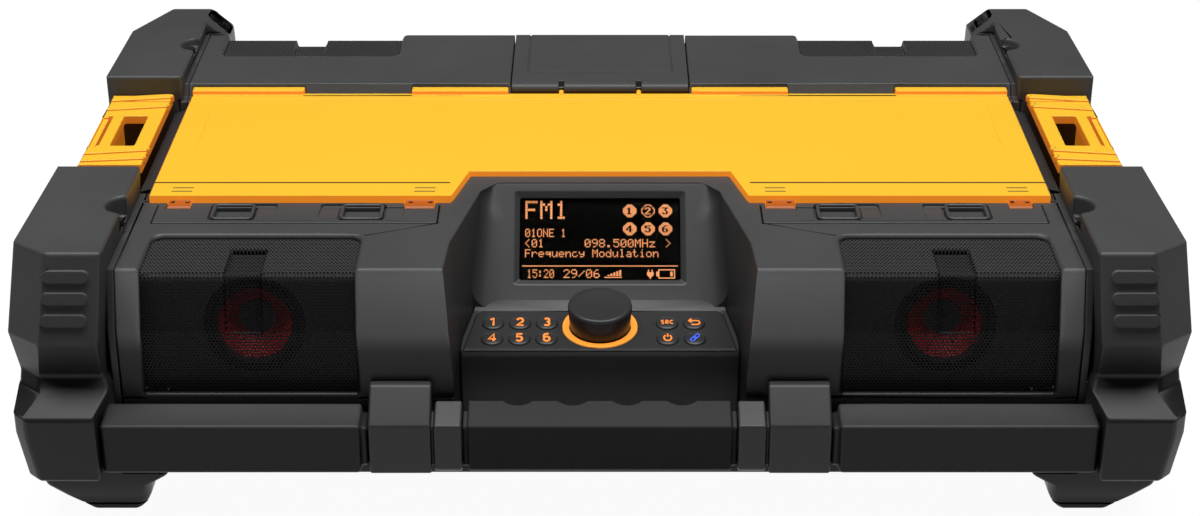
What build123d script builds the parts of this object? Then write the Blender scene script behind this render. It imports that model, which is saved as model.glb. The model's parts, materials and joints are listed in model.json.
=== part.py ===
from build123d import *
import os
from math import cos, hypot, radians, sin, tan

# A stackable jobsite radio: a flat plastic case with four corner bumpers, a hinged
# storage lid on top, a recessed control console at the front, four loudspeakers
# behind pressed mesh grilles, a fixed carry handle low at the front and a swinging
# clip on each side.  Millimetres.  X is across, -Y is the front, +Z is up, and the
# origin is on the ground under the middle of the case.

os.makedirs("parts", exist_ok=True)

# ---------------------------------------------------------------- driving sizes
fit = 0.3                      # gap between neighbouring fixed mouldings
wall = 3.0                     # case wall
running_gap = 0.05             # radial clearance of a pin or shaft

# Case section, seen from the side.
case_half_y = 190.0
front_y, rear_y = -case_half_y, case_half_y
case_floor_z = 13.0
floor_bevel_run, floor_bevel_rise = 30.0, 17.0
seam_z = 78.5                  # joint between the tub and the deck
deck_z = 155.0                 # front deck surface
rear_deck_z = deck_z + 8.0     # raised rear deck
knee_z = deck_z - 35.0         # where the front wall starts to lean back
front_fold_y = front_y + 11.0  # where the front slope meets the deck
rear_fold_y = rear_y - 9.0
step_foot_y = rear_y - 108.0   # slope between the two deck levels
step_top_y = step_foot_y + 5.0
case_half_x = 271.7            # half width of the tub and deck
side_plate = 4.5               # side frame thickness

# Corner bumpers.
bumper_top_z = deck_z + 18.0
bumper_knee_z = bumper_top_z - 50.0
bumper_inner_x = case_half_x + 2.3
bumper_gap_x = case_half_x + 51.5      # outer side at the end next to the side clip
front_bumper_x = case_half_x + 53.8    # outer side at the corner
rear_bumper_x = case_half_x + 50.3
bumper_flare = 5.8             # how far the knee stands out to the side
knee_inner_x = bumper_inner_x + 3.6
bumper_neck_z = seam_z + 18.5
lobe_top_z = seam_z + 11.3
lobe_front_z = seam_z + 2.5
lobe_mid_z = seam_z - 9.5
bumper_foot_z = 41.0
bumper_wall = 4.0
neck_inner_x = case_half_x + 7.3
lobe_back_inner_x = case_half_x + 3.8
lobe_inner_x = case_half_x + 10.1
neck_outer_x = case_half_x + 57.3
lobe_outer_x = case_half_x + 56.8
lobe_low_outer_x = case_half_x + 51.8
front_bumper_rear_y = front_y + 116.3
front_bumper_y = front_y - 6.2
front_knee_y = front_y - 18.0
lobe_y = case_half_y + 30.0
lobe_back_y = case_half_y + 12.0
neck_y = case_half_y + 7.0
front_corner = (20.5, 15.5)    # corner cut, across and along
rear_bumper_front_y = rear_y - 116.5
rear_bumper_y = rear_y + 18.0
rear_knee_y = rear_y + 30.0
rear_corner = (20.0, 45.6)
neck_corner = (13.5, 12.0)
lobe_corner = (8.0, 8.0)
rib_length, rib_height, rib_pitch, rib_proud = 26.0, 7.0, 12.1, 1.8
rib_x = case_half_x + 22.3
rib_first_z = bumper_top_z - 13.0
rib_count = 3
rib_slant = 1.2                # each rib sits this much further out than the one above
scoop_radius = 11.5
scoop_x = bumper_inner_x - 1.5
front_scoop_y, rear_scoop_y = -130.0, 135.5
front_scoop_z, rear_scoop_z = bumper_top_z - 13.0, bumper_top_z - 6.5
screw_head, screw_head_thick, screw_length = 3.5, 3.0, 3.5
screw_shank = 1.8
screw_x = scoop_x + 6.0
wedge_reach, wedge_drop = 14.0, 13.0   # vented inner corner of the rear bumpers
wedge_slot, wedge_slot_pitch, wedge_slots = 2.8, 4.4, 3
wedge_land = 1.4               # wall left beside and behind the slots

# Feet.
pad_thick = 3.0
foot_hip_z, foot_waist_z, foot_shelf_z = 8.5, 18.7, 24.0
foot_pad_x = (case_half_x - 3.0, case_half_x + 26.8)
foot_sole_x = (case_half_x - 6.2, case_half_x + 31.8)
foot_hip_x = (case_half_x - 8.7, case_half_x + 41.8)
foot_waist_x = (case_half_x - 11.0, lobe_low_outer_x - 0.3)
foot_shelf_x = (case_half_x - 20.0, lobe_low_outer_x - 0.2)
foot_pad_y = (case_half_y - 45.0, case_half_y - 9.0)
foot_top_y = (case_half_y - 50.0, case_half_y - 4.0)
foot_rounding = 5.0

# Front bars and handle.
bar_y = case_half_y + 24.0     # how far the bars stand out
bar_low_z = 43.0
bar_edge_z = seam_z - 5.0
bar_back_z = seam_z - 2.3
bar_wall = 3.0
bar_end_x = lobe_inner_x - 0.8
bracket_inner_x, bracket_outer_x = 95.3, 130.2
bar_neck_x = bracket_outer_x + 0.6
bar_inner_x = bar_neck_x + 4.2
bracket_back_z = seam_z + 12.0
bracket_crest_y = -case_half_y - 6.0
collar_inner_x, collar_outer_x = 77.8, bracket_inner_x - 1.8
grip_half_x = collar_inner_x - 3.7
grip_back_y = -case_half_y - 6.0
grip_top_z = bar_edge_z + 7.5
grip_edge = 3.0
neck_inset = 3.2
tenon_radius = 5.5
tenon_y, tenon_z = grip_back_y - 8.5, bar_low_z + 17.0
tenon_end = 4.0                # the core rod stops this far inside each bracket
scallop_drop = 7.0
scallop_pitch, scallop_radius, scallop_depth, scallop_count = 31.0, 13.0, 3.0, 4

# Console.
mouth_z = deck_z
display_top_y = front_y + 129.0
display_slope = 48.0           # degrees from level
display_length = 72.8          # down the slope
ledge_run, ledge_drop = 5.8, 4.2
keypad_slope = 7.0
keypad_length = 40.8
console_thick = 4.5
shelf_lean, shelf_nose = 1.5, 4.0
hand_floor_z = 34.0
mouth_half_plan = [             # right half of the opening, from the back forwards
    (62.5, display_top_y + 3.0),
    (72.7, display_top_y - 10.5),
    (87.0, display_top_y - 82.6),
    (88.8, display_top_y - 118.0),
    (90.0, -2.0 * case_half_y),
]
mouth_draft = 6.2              # how much each cheek leans in over its height
mouth_spread = 1.6             # how far the cheeks lean out at the top of their draft
mouth_low_z = 92.0
mouth_head = 20.0              # how far the drafted cheeks run above the rear deck
window_half_x = 48.4
window_start, window_end = 8.2, 59.8
window_bevel = 3.3
window_bevel_depth = 2.2
window_thick = 1.5
window_land = 2.2
lcd_thick, lcd_border = 6.0, 4.5
keypad_back_half_x, keypad_front_half_x = 72.4, 79.0
keypad_thick = 2.0
keypad_rim = 0.8
keypad_rounding = 5.0
knob_along = 16.6              # down the keypad from its back edge
knob_radius, knob_top_radius = 17.6, 19.1
knob_height, knob_lift = 15.0, 1.0
knob_rounding = 2.2
knob_dish_radius, knob_dish = 15.5, 1.1
knob_skirt, knob_roof = 2.4, 4.5
knob_travel = 0.8
ring_inner, ring_outer, ring_proud = 18.3, 22.0, 0.4
ring_gap = 0.2
key_radius, key_proud, key_rounding = 6.2, 1.2, 0.5
key_columns = (-63.0, -47.1, -31.2, 39.5, 55.4)
key_rows = (13.6, 29.7)
key_hole_gap = 0.3
key_flange, key_depth = 1.2, 7.0
board_drop, board_thick = 12.0, 1.6
board_size = (132.0, 30.0)
board_centre = -18.0
encoder_size = 14.0
knob_hub = 6.0
shaft_grip = 10.2
shaft_radius, rotor_radius = 3.0, 4.5

# Lid and its hinge.
lid_half_x = case_half_x - 3.2
lid_front_y, lid_rear_y = front_y + 105.0, step_foot_y - 0.5
lid_top_z = deck_z + 3.0
lid_low_z = deck_z - 3.8
lid_skin, lid_skirt = 3.0, 3.2
lid_notch_top_x, lid_notch_low_x, lid_notch_y = 79.5, 88.5, display_top_y + 13.0
lid_gap = 0.6
lip_rear_y, lip_top_z = step_foot_y + 3.6, deck_z + 6.0
lip_spans = ((60.5, 124.0), (lid_half_x - 73.5, lid_half_x))
hinge_y, hinge_z = lid_front_y - 6.5, deck_z - 3.5
hinge_radius, hinge_pin_radius = 3.4, 1.25
pin_over = 2.6
groove_depth, groove_width = 0.8, 1.0
front_groove_y, rear_groove_y = lid_front_y + 19.0, lid_rear_y - 4.5

# Compartment under the lid.
rim_low_z = deck_z - 7.5
rim_z = deck_z - 4.2
rim_width = 3.0
opening_inset = 9.0
tray_inset = 12.0
tray_flange_inset = 5.0
tray_flange_thick = 1.5
tray_wall = 2.5
tray_floor_z = 62.0
gasket_width = 2.0

# Hinge strips.
strip_inner_x, strip_outer_x = 95.0, case_half_x - 9.7
tab_spans = (
    (strip_inner_x + 3.5, strip_inner_x + 20.8),
    (strip_outer_x - 19.0, strip_outer_x - 5.5),
)
strip_rear_y = lid_front_y - 3.6
strip_front_y = strip_rear_y - 28.9
strip_thick = 6.0
strip_ledge = 2.5
strip_low_z = deck_z - 9.5     # underside of the deck's ledge round each strip
rib_top_z = deck_z - 1.2       # deck rib between the lid and the strips
socket_columns = (strip_inner_x + 45.2, strip_outer_x - 45.8)
socket_y = strip_rear_y - 13.4
socket_size = (25.0, 19.0)
socket_depth = 6.5
socket_lining = 1.6
socket_step = (12.0, 15.0, 1.0)
socket_ribs = 3
socket_rib_half, socket_rib_height = 0.8, 3.5
socket_sink = 0.6              # the cup's rim below the strip

# Lid latch over the rear deck.
latch_half_x = 58.5
latch_gap = 0.8
latch_top_z, latch_low_z = rear_deck_z, rear_deck_z - 4.8
latch_pin_y, latch_pin_z = step_foot_y + 6.2, rear_deck_z - 4.2
latch_knuckle_radius, latch_pin_radius = 3.9, 1.6
latch_lug_radius = 3.0
latch_lug_x = (24.2, 27.0)     # the lid's two lugs stand in slits of the latch
latch_lip_y = rear_y - 2.4
latch_lip_z = rear_deck_z - 22.0
latch_lip_thick = 4.0
latch_turn = 3.2               # the latch turns down this far ahead of the rear fold
latch_well, latch_well_drop = 7.9, 3.0
latch_panel_half_x, latch_panel_front_y = 48.6, latch_pin_y + 19.8

# Side clips.
clip_inner_x, clip_outer_x = case_half_x + 8.8, case_half_x + 47.8
clip_top_z, clip_plate = deck_z + 5.0, 6.0
clip_rear_y, clip_front_y = rear_bumper_front_y - 1.5, front_bumper_rear_y + 30.7
clip_leg = 5.0
clip_pin_x, clip_pin_z = clip_outer_x - clip_leg, 98.0
clip_pin_radius, clip_knuckle_radius = 2.5, 6.0
clip_knuckle = 18.0
clip_ear = 12.0
clip_window = (15.0, 49.0)
clip_window_x, clip_window_y = clip_inner_x + 17.5, (clip_front_y + clip_rear_y) / 2 - 2.0
clip_slot_x, clip_slot_width, clip_slot_depth = clip_outer_x - 5.5, 2.4, 2.0
clip_groove_ys = (clip_rear_y - 10.0, clip_rear_y - 20.5, clip_front_y + 23.5, clip_front_y + 11.5)
clip_gap = 0.5
sill_outer_x = clip_outer_x + 1.5  # ledge on each side that carries a clip
sill_span = (-60.0, 60.0)
sill_top_z = clip_pin_z - 7.0
sill_low_z = sill_top_z - 39.0
frame_band_inset = 26.0

# Grilles and loudspeakers.
grille_inner_x, grille_outer_x = bracket_outer_x + 7.3, case_half_x - 13.7
grille_edge_y = front_y + 56.7
rear_grille_edge_y = rear_y - 50.0
grille_sill_z = seam_z + 2.9
grille_corner = 7.0
grille_sheet = 1.2
grille_lap = 3.0
grille_inset = 3.3             # outer face of the mesh below the case surface
speaker_x = (grille_inner_x + grille_outer_x) / 2 - 1.25
channel_x, channel_half_x, channel_depth = speaker_x + 4.0, 11.0, 3.4
channel_top_y = grille_edge_y - 12.7
rear_channel_top_y = rear_grille_edge_y + 11.0
channel_low_z = knee_z - 3.0
speaker_front_y, speaker_front_z = front_y + 22.0, deck_z - 39.5
speaker_rear_y, speaker_rear_z = rear_y - 22.0, deck_z - 38.5
speaker_tilt = 8.0
flange_size, flange_thick, flange_hole = 61.0, 2.5, 25.5
basket_top_radius, basket_low_radius, basket_depth = 27.5, 19.5, 22.0
basket_skin, basket_hole = 1.6, 11.0
magnet_radius, magnet_height = 22.0, 13.0
cone_radius, coil_radius, cone_depth, cone_skin = 20.9, 9.0, 10.5, 0.9
cap_rise, coil_drop = 3.5, 7.0
surround_radius, surround_lip, surround_rise = 28.2, 25.8, 2.6
baffle_thick, baffle_hole = 4.0, 28.5
baffle_height = 2.0 * (deck_z - seam_z)

# Power parts.
inlet_x, inlet_z = 96.0, seam_z + 25.5
inlet_recess = (52.0, 38.0, 22.0)
inlet_body = (30.0, 22.0, 18.0)
inlet_flange, inlet_flange_thick = (40.0, 29.0), 2.0
socket_mouth, socket_reach = (22.0, 13.0), 13.0
supply_span_x, supply_span_y, supply_height = (40.0, 160.0), (10.0, 80.0), 38.0
dock_span_x, dock_span_y, dock_height = (110.0, 190.0), (-30.0, 45.0), 16.0
dock_rail = 12.0
ports_size = (90.0, 3.0, 30.0)
ports_end = 41.7               # from the case side to the port panel
ports_drop = 12.0              # from the tray's rim down to the port panel
port_slot = (14.0, 6.0)
port_slot_x, port_jack_x, port_outlet_x = 19.0, 45.0, 70.0
port_jack_radius, port_outlet_radius = 2.6, 8.0


# ---------------------------------------------------------------- shared outlines
case_outline = [
    (front_y + floor_bevel_run, case_floor_z),
    (front_y, case_floor_z + floor_bevel_rise),
    (front_y, knee_z),
    (front_fold_y, deck_z),
    (step_foot_y, deck_z),
    (step_top_y, rear_deck_z),
    (rear_fold_y, rear_deck_z),
    (rear_y, knee_z),
    (rear_y, case_floor_z + floor_bevel_rise),
    (rear_y - floor_bevel_run, case_floor_z),
]
lid_outline = [
    (-lid_half_x, lid_front_y),
    (-lid_notch_low_x, lid_front_y),
    (-lid_notch_top_x, lid_notch_y),
    (lid_notch_top_x, lid_notch_y),
    (lid_notch_low_x, lid_front_y),
    (lid_half_x, lid_front_y),
    (lid_half_x, lid_rear_y),
    (-lid_half_x, lid_rear_y),
]
# Console surface from the deck down: display, ledge, keypad, shelf nose, hand well.
display_end = (
    display_top_y - display_length * cos(radians(display_slope)),
    mouth_z - display_length * sin(radians(display_slope)),
)
keypad_start = (display_end[0] - ledge_run, display_end[1] - ledge_drop)
keypad_end = (
    keypad_start[0] - keypad_length * cos(radians(keypad_slope)),
    keypad_start[1] - keypad_length * sin(radians(keypad_slope)),
)
shelf_face_y = keypad_end[0] - shelf_lean
console_line = [
    (display_top_y, mouth_z),
    display_end,
    keypad_start,
    keypad_end,
    (shelf_face_y, keypad_end[1] - shelf_nose),
    (shelf_face_y, hand_floor_z + fit),
]
display_plane = Plane(
    origin=(0, display_top_y, mouth_z),
    x_dir=(1, 0, 0),
    z_dir=(0, -sin(radians(display_slope)), cos(radians(display_slope))),
)
keypad_plane = Plane(
    origin=(0, *keypad_start),
    x_dir=(1, 0, 0),
    z_dir=(0, -sin(radians(keypad_slope)), cos(radians(keypad_slope))),
)


def moved_line(points, distance):
    """The same open run of straight lines, moved sideways to the left of its direction."""
    lines = []
    for (ax, ay), (bx, by) in zip(points, points[1:]):
        length = hypot(bx - ax, by - ay)
        nx, ny = -(by - ay) / length, (bx - ax) / length
        lines.append((ax + nx * distance, ay + ny * distance, bx - ax, by - ay))
    first = lines[0][:2]
    last = (lines[-1][0] + lines[-1][2], lines[-1][1] + lines[-1][3])
    corners = []
    for (ax, ay, ux, uy), (bx, by, vx, vy) in zip(lines, lines[1:]):
        along = ((bx - ax) * vy - (by - ay) * vx) / (ux * vy - uy * vx)
        corners.append((ax + ux * along, ay + uy * along))
    return [first, *corners, last]


def side_bar(points, x_from, x_to, inset=0.0):
    """A straight bar along X whose side view is the given outline."""
    with BuildPart() as bar:
        with BuildSketch(Plane.YZ.offset(x_from)):
            with BuildLine():
                Polyline(*points, close=True)
            make_face()
            if inset:
                offset(amount=-inset, kind=Kind.INTERSECTION)
        extrude(amount=x_to - x_from)
    return bar.part


def plan_slab(points, z_from, z_to, inset=0.0):
    """An upright slab whose plan is the given outline."""
    with BuildPart() as slab:
        with BuildSketch(Plane.XY.offset(z_from)):
            with BuildLine():
                Polyline(*points, close=True)
            make_face()
            if inset:
                offset(amount=-inset, kind=Kind.INTERSECTION)
        extrude(amount=z_to - z_from)
    return slab.part


def block(x_span, y_span, z_span):
    """A plain box between two corners."""
    with BuildPart() as box:
        with Locations(
            (
                (x_span[0] + x_span[1]) / 2,
                (y_span[0] + y_span[1]) / 2,
                (z_span[0] + z_span[1]) / 2,
            )
        ):
            Box(x_span[1] - x_span[0], y_span[1] - y_span[0], z_span[1] - z_span[0])
    return box.part


def rod(x_span, y, z, radius):
    """A round rod along X."""
    with BuildPart() as bar:
        with BuildSketch(Plane.YZ.offset(x_span[0])):
            with Locations((y, z)):
                Circle(radius)
        extrude(amount=x_span[1] - x_span[0])
    return bar.part


def both_sides(part):
    """The part and its mirror image, as one group."""
    with BuildPart() as pair:
        add(part)
        mirror(about=Plane.YZ)
    return pair.part


def save(part, name):
    part.label = name
    export_step(part, f"parts/{name}.step")
    print(name, len(part.solids()), round(part.volume))


far = 400.0                    # well outside the case on every side

# ---------------------------------------------------------------- console hollow
def hollow_run(push):
    """Side outline of the space in front of the console, grown by push."""
    line = moved_line(console_line, push)
    head = (line[0][0] + (far - line[0][1]) / tan(radians(display_slope)), far)
    floor_z = hand_floor_z
    return [head, *line[1:-1], (line[-1][0], floor_z), (-far, floor_z), (-far, far)]


def mouth_plan(grow, lean):
    """Plan of the console opening, with its cheeks leaning in by lean."""
    half = [(x - lean, y) for x, y in mouth_half_plan]
    right = [(x + grow, y + (grow if i == 0 else 0)) for i, (x, y) in enumerate(half)]
    return right + [(-x, y) for x, y in reversed(right)]


def mouth_block(grow):
    """The console opening's cheeks as a solid: leaning above the keypad, upright below."""
    with BuildPart() as mouth:
        for z_low, z_high, lean_low, lean_high in (
            (mouth_low_z, rear_deck_z + mouth_head, mouth_draft, -mouth_spread),
            (0, mouth_low_z, mouth_draft, mouth_draft),
        ):
            for z, lean in ((z_low, lean_low), (z_high, lean_high)):
                with BuildSketch(Plane.XY.offset(z)):
                    with BuildLine():
                        Polyline(*mouth_plan(grow, lean), close=True)
                    make_face()
            loft(ruled=True)
    return mouth.part


deck_push = console_thick + fit
hollow = side_bar(hollow_run(deck_push), -far, far) & mouth_block(0)
hollow_walls = side_bar(hollow_run(deck_push), -far, far) & mouth_block(wall)
tub_hollow_walls = side_bar(
    [(p[0], p[1] - (wall if p[1] == hand_floor_z else 0)) for p in hollow_run(deck_push + wall)],
    -far,
    far,
) & mouth_block(wall)

case_solid = side_bar(case_outline, -case_half_x, case_half_x)
case_inside = side_bar(case_outline, -case_half_x - 1, case_half_x + 1, wall)
above_seam = block((-far, far), (-far, far), (seam_z + fit / 2, far))
below_seam = block((-far, far), (-far, far), (-1, seam_z - fit / 2))


# ---------------------------------------------------------------- top deck
def grille_cut(side):
    """Opening in the deck for one grille; side is -1 at the front and 1 at the rear."""
    y_edge = grille_edge_y if side < 0 else rear_grille_edge_y
    with BuildPart() as cut:
        with BuildSketch(Plane.XY.offset(grille_sill_z)) as plan:
            with BuildLine():
                Polyline(
                    (grille_inner_x, y_edge),
                    (grille_outer_x, y_edge),
                    (grille_outer_x, side * far),
                    (grille_inner_x, side * far),
                    close=True,
                )
            make_face()
            deck_end = plan.vertices().sort_by(Axis.Y)
            fillet(deck_end[-2:] if side < 0 else deck_end[:2], grille_corner)
        extrude(amount=far)
    return cut.part


def speaker_plane(side):
    """Mounting plane of the right front (-1) or right rear (1) loudspeaker."""
    y, z = (speaker_front_y, speaker_front_z) if side < 0 else (speaker_rear_y, speaker_rear_z)
    return Plane(
        origin=(speaker_x, y, z),
        x_dir=(1, 0, 0) if side < 0 else (-1, 0, 0),
        z_dir=(0, side * cos(radians(speaker_tilt)), sin(radians(speaker_tilt))),
    )


def baffle(side):
    """Moulded wall that carries one loudspeaker, tied to the deck at both ends."""
    deep = grille_sheet + channel_depth + wall + 2.0
    with BuildPart() as panel:
        with BuildSketch(speaker_plane(side).offset(0.1)):
            Rectangle(2 * (speaker_x - bracket_outer_x + 2.0), baffle_height)
            Circle(baffle_hole, mode=Mode.SUBTRACT)
        extrude(amount=baffle_thick)
    middle = side_bar(case_outline, grille_inner_x - 8, grille_outer_x + 7, deep)
    inner_end = side_bar(case_outline, bracket_outer_x, grille_inner_x - 5, wall - 0.5)
    outer_end = side_bar(case_outline, grille_outer_x + 5, case_half_x - 6.0, wall - 0.5)
    return panel.part & (middle + inner_end + outer_end)


rim_block = plan_slab(lid_outline, rim_low_z, deck_z, -rim_width)
lid_pocket = plan_slab(lid_outline, rim_z, far, -lid_gap)
lid_opening = plan_slab(lid_outline, 0, far, opening_inset)
strip_plan = [
    (strip_inner_x, strip_front_y),
    (strip_outer_x, strip_front_y),
    (strip_outer_x, strip_rear_y),
    (strip_inner_x, strip_rear_y),
]
strip_block = plan_slab(strip_plan, strip_low_z, deck_z, -rim_width)
strip_pocket = plan_slab(strip_plan, deck_z - strip_thick, far, -0.25)
strip_opening = plan_slab(strip_plan, 0, far, strip_ledge)
latch_line = [
    (step_foot_y - 3, latch_low_z - latch_gap),
    (rear_fold_y - latch_turn, latch_low_z - latch_gap),
    (rear_y - latch_well, latch_lip_z - latch_well_drop),
    (far, latch_lip_z - latch_well_drop),
    (far, far),
    (step_foot_y - 3, far),
]
latch_channel = side_bar(latch_line, -latch_half_x - latch_gap, latch_half_x + latch_gap)
latch_channel_walls = side_bar(
    [
        (latch_line[0][0], latch_line[0][1] - wall),
        (latch_line[1][0] - 1.5, latch_line[1][1] - wall),
        (latch_line[2][0] - wall, latch_line[2][1] - wall),
        (far, latch_line[3][1] - wall),
        (far, far),
        (latch_line[0][0], far),
    ],
    -latch_half_x - latch_gap - wall,
    latch_half_x + latch_gap + wall,
)
knuckle_well = block(
    (-latch_half_x - latch_gap, latch_half_x + latch_gap),
    (step_foot_y - 3, latch_pin_y + latch_knuckle_radius + 1.2),
    (rim_z, far),
)
inlet_pocket = block(
    (inlet_x - inlet_recess[0] / 2, inlet_x + inlet_recess[0] / 2),
    (rear_y - inlet_recess[2], far),
    (inlet_z - inlet_recess[1] / 2, inlet_z + inlet_recess[1] / 2),
)
inlet_walls = block(
    (inlet_x - inlet_recess[0] / 2 - wall, inlet_x + inlet_recess[0] / 2 + wall),
    (rear_y - inlet_recess[2] - wall, far),
    (inlet_z - inlet_recess[1] / 2 - wall, inlet_z + inlet_recess[1] / 2 + wall),
)
inlet_hole = block(
    (inlet_x - inlet_body[0] / 2 - fit, inlet_x + inlet_body[0] / 2 + fit),
    (0, far),
    (inlet_z - inlet_body[1] / 2 - fit, inlet_z + inlet_body[1] / 2 + fit),
)
# The shoulders between the bumpers fall away beside the lid.
shoulder_outline = [
    (lid_half_x + 0.9, far),
    (lid_half_x + 0.9, rim_z + 0.6),
    (case_half_x + 6.0, rim_z - 24.0),
    (far, rim_z - 24.0),
    (far, far),
]


def shoulder_cut():
    """Wedge that lowers the right shoulder between the two bumpers."""
    with BuildPart() as cut:
        with BuildSketch(Plane.XZ.offset(-rear_bumper_front_y - 0.5)):
            with BuildLine():
                Polyline(*shoulder_outline, close=True)
            make_face()
        extrude(amount=rear_bumper_front_y - front_bumper_rear_y + 1.0)
    return cut.part


shoulders = both_sides(shoulder_cut())

tab_wells = [
    block((x_from - 0.8, x_to + 0.8), (hinge_y - 6.0, lid_front_y), (rim_low_z - 0.2, far))
    for x_from, x_to in tab_spans
]
rib_trim = block((lid_notch_low_x, lid_half_x + 3.0), (strip_rear_y, lid_front_y), (rib_top_z, far))
lip_wells = [
    block((x_from - lid_gap, x_to + lid_gap), (0, lip_rear_y + lid_gap), (rim_z, far))
    for x_from, x_to in lip_spans
]
case_reach = side_bar(case_outline, -far, far, -1.0)
grille_cuts = [grille_cut(side) & case_reach for side in (-1, 1)]
deck_cuts = [hollow, lid_pocket, lid_opening, latch_channel, knuckle_well]
deck_cuts += [inlet_pocket, inlet_hole, shoulders]
paired_cuts = [strip_pocket, strip_opening, rib_trim, *lip_wells, *tab_wells, *grille_cuts]
deck_cuts += [both_sides(cut) for cut in paired_cuts]
deck_extras = [rim_block & case_solid, both_sides(strip_block)]
baffles = [both_sides(baffle(side)) for side in (-1, 1)]

with BuildPart() as deck_hollow:
    add(case_inside)
    add(hollow_walls, mode=Mode.SUBTRACT)
    add(latch_channel_walls, mode=Mode.SUBTRACT)
    add(inlet_walls, mode=Mode.SUBTRACT)

with BuildPart() as top_deck:
    add(case_solid)
    add(deck_hollow.part, mode=Mode.SUBTRACT)
    add(deck_extras)
    add(deck_cuts, mode=Mode.SUBTRACT)
    add(baffles)
    add(above_seam, mode=Mode.INTERSECT)
save(top_deck.part, "top_deck")

# ---------------------------------------------------------------- lower tub
with BuildPart() as tub_hollow:
    add(case_inside)
    add(tub_hollow_walls, mode=Mode.SUBTRACT)
    add(inlet_walls, mode=Mode.SUBTRACT)

with BuildPart() as lower_tub:
    add(case_solid)
    add(tub_hollow.part, mode=Mode.SUBTRACT)
    add([hollow, inlet_pocket, inlet_hole], mode=Mode.SUBTRACT)
    add(below_seam, mode=Mode.INTERSECT)
save(lower_tub.part, "lower_tub")

# ---------------------------------------------------------------- side frames
plate_inner_x = case_half_x + fit
plate_outer_x = plate_inner_x + side_plate
frame_plate = side_bar(case_outline, plate_inner_x, plate_outer_x)
frame_opening = side_bar(case_outline, 0, far, frame_band_inset)
sill_heights = (sill_low_z, sill_top_z)
frame_band = frame_plate & block((0, far), (-far, far), sill_heights)
sill = block((plate_outer_x - 0.5, sill_outer_x), sill_span, sill_heights)
sill_inside = block(
    (plate_inner_x - 1, sill_outer_x - wall),
    (sill_span[0] + wall, sill_span[1] - wall),
    (sill_heights[0] + wall, sill_heights[1] - wall),
)
ear_ys = (
    clip_front_y + clip_knuckle + clip_gap,
    clip_rear_y - clip_knuckle - clip_gap - clip_ear,
)


def rod_along_y(x, z, y_from, y_to, radius):
    """A round rod along Y."""
    with BuildPart() as bar:
        with BuildSketch(Plane.XZ.offset(-y_to)):
            with Locations((x, z)):
                Circle(radius)
        extrude(amount=y_to - y_from)
    return bar.part


ears = []
for ear_y in ear_ys:
    ears.append(rod_along_y(clip_pin_x, clip_pin_z, ear_y, ear_y + clip_ear, clip_knuckle_radius))
    ears.append(
        block(
            (clip_pin_x - clip_knuckle_radius, clip_pin_x + clip_knuckle_radius),
            (ear_y, ear_y + clip_ear),
            (sill_heights[1] - 1, clip_pin_z),
        )
    )
pin_bore = rod_along_y(clip_pin_x, clip_pin_z, -far, far, clip_pin_radius + running_gap)

with BuildPart() as right_side_frame:
    add(frame_plate)
    add(frame_opening, mode=Mode.SUBTRACT)
    add(frame_band)
    add(sill)
    add(sill_inside, mode=Mode.SUBTRACT)
    add(ears)
    add([pin_bore, shoulders], mode=Mode.SUBTRACT)
save(right_side_frame.part, "right_side_frame")

with BuildPart() as left_side_frame:
    add(right_side_frame.part)
    mirror(about=Plane.YZ, mode=Mode.REPLACE)
save(left_side_frame.part, "left_side_frame")

# ---------------------------------------------------------------- corner bumpers
def bumper_levels(rear):
    """Plan outlines of a right-hand bumper, from the top down, as (z, points)."""
    way = 1 if rear else -1
    inner_y = rear_bumper_front_y if rear else front_bumper_rear_y
    outer_y = rear_bumper_y if rear else front_bumper_y
    knee_y = rear_knee_y if rear else front_knee_y
    corner = rear_corner if rear else front_corner
    outer_x = rear_bumper_x if rear else front_bumper_x

    def level(z, inner_x, gap_x, corner_x, y, cut):
        return z, [
            (inner_x, inner_y),
            (gap_x, inner_y),
            (corner_x, y - way * cut[1]),
            (corner_x - cut[0], y),
            (inner_x, y),
        ]

    lobe = (lobe_inner_x, lobe_outer_x, lobe_outer_x, way * lobe_y, lobe_corner)
    lobe_low = (lobe_inner_x, lobe_low_outer_x, lobe_low_outer_x, way * lobe_y, lobe_corner)
    return [
        level(bumper_top_z, bumper_inner_x, bumper_gap_x, outer_x, outer_y, corner),
        level(bumper_knee_z, knee_inner_x, bumper_gap_x, outer_x + bumper_flare, knee_y, corner),
        level(bumper_neck_z, neck_inner_x, bumper_gap_x, neck_outer_x, way * neck_y, neck_corner),
        level(lobe_top_z, lobe_back_inner_x, bumper_gap_x, neck_outer_x, way * lobe_back_y, neck_corner),
        level(lobe_front_z, *lobe),
        level(lobe_mid_z, *lobe),
        level(bumper_foot_z, *lobe_low),
    ]


def level_hull(levels, inset=0.0):
    """Solid through the levels; inset makes the cavity of a shell with that wall."""
    stack = levels
    if inset:
        stack = [(levels[0][0] - inset, levels[0][1]), *levels[1:-1]]
        stack.append((levels[-1][0] + inset, levels[-1][1]))
    with BuildPart() as hull:
        for (z_high, high), (z_low, low) in zip(stack, stack[1:]):
            for z, points in ((z_low, low), (z_high, high)):
                with BuildSketch(Plane.XY.offset(z)):
                    with BuildLine():
                        Polyline(*points, close=True)
                    make_face()
                    if inset:
                        offset(amount=-inset, kind=Kind.INTERSECTION)
            loft(ruled=True)
    return hull.part


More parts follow.
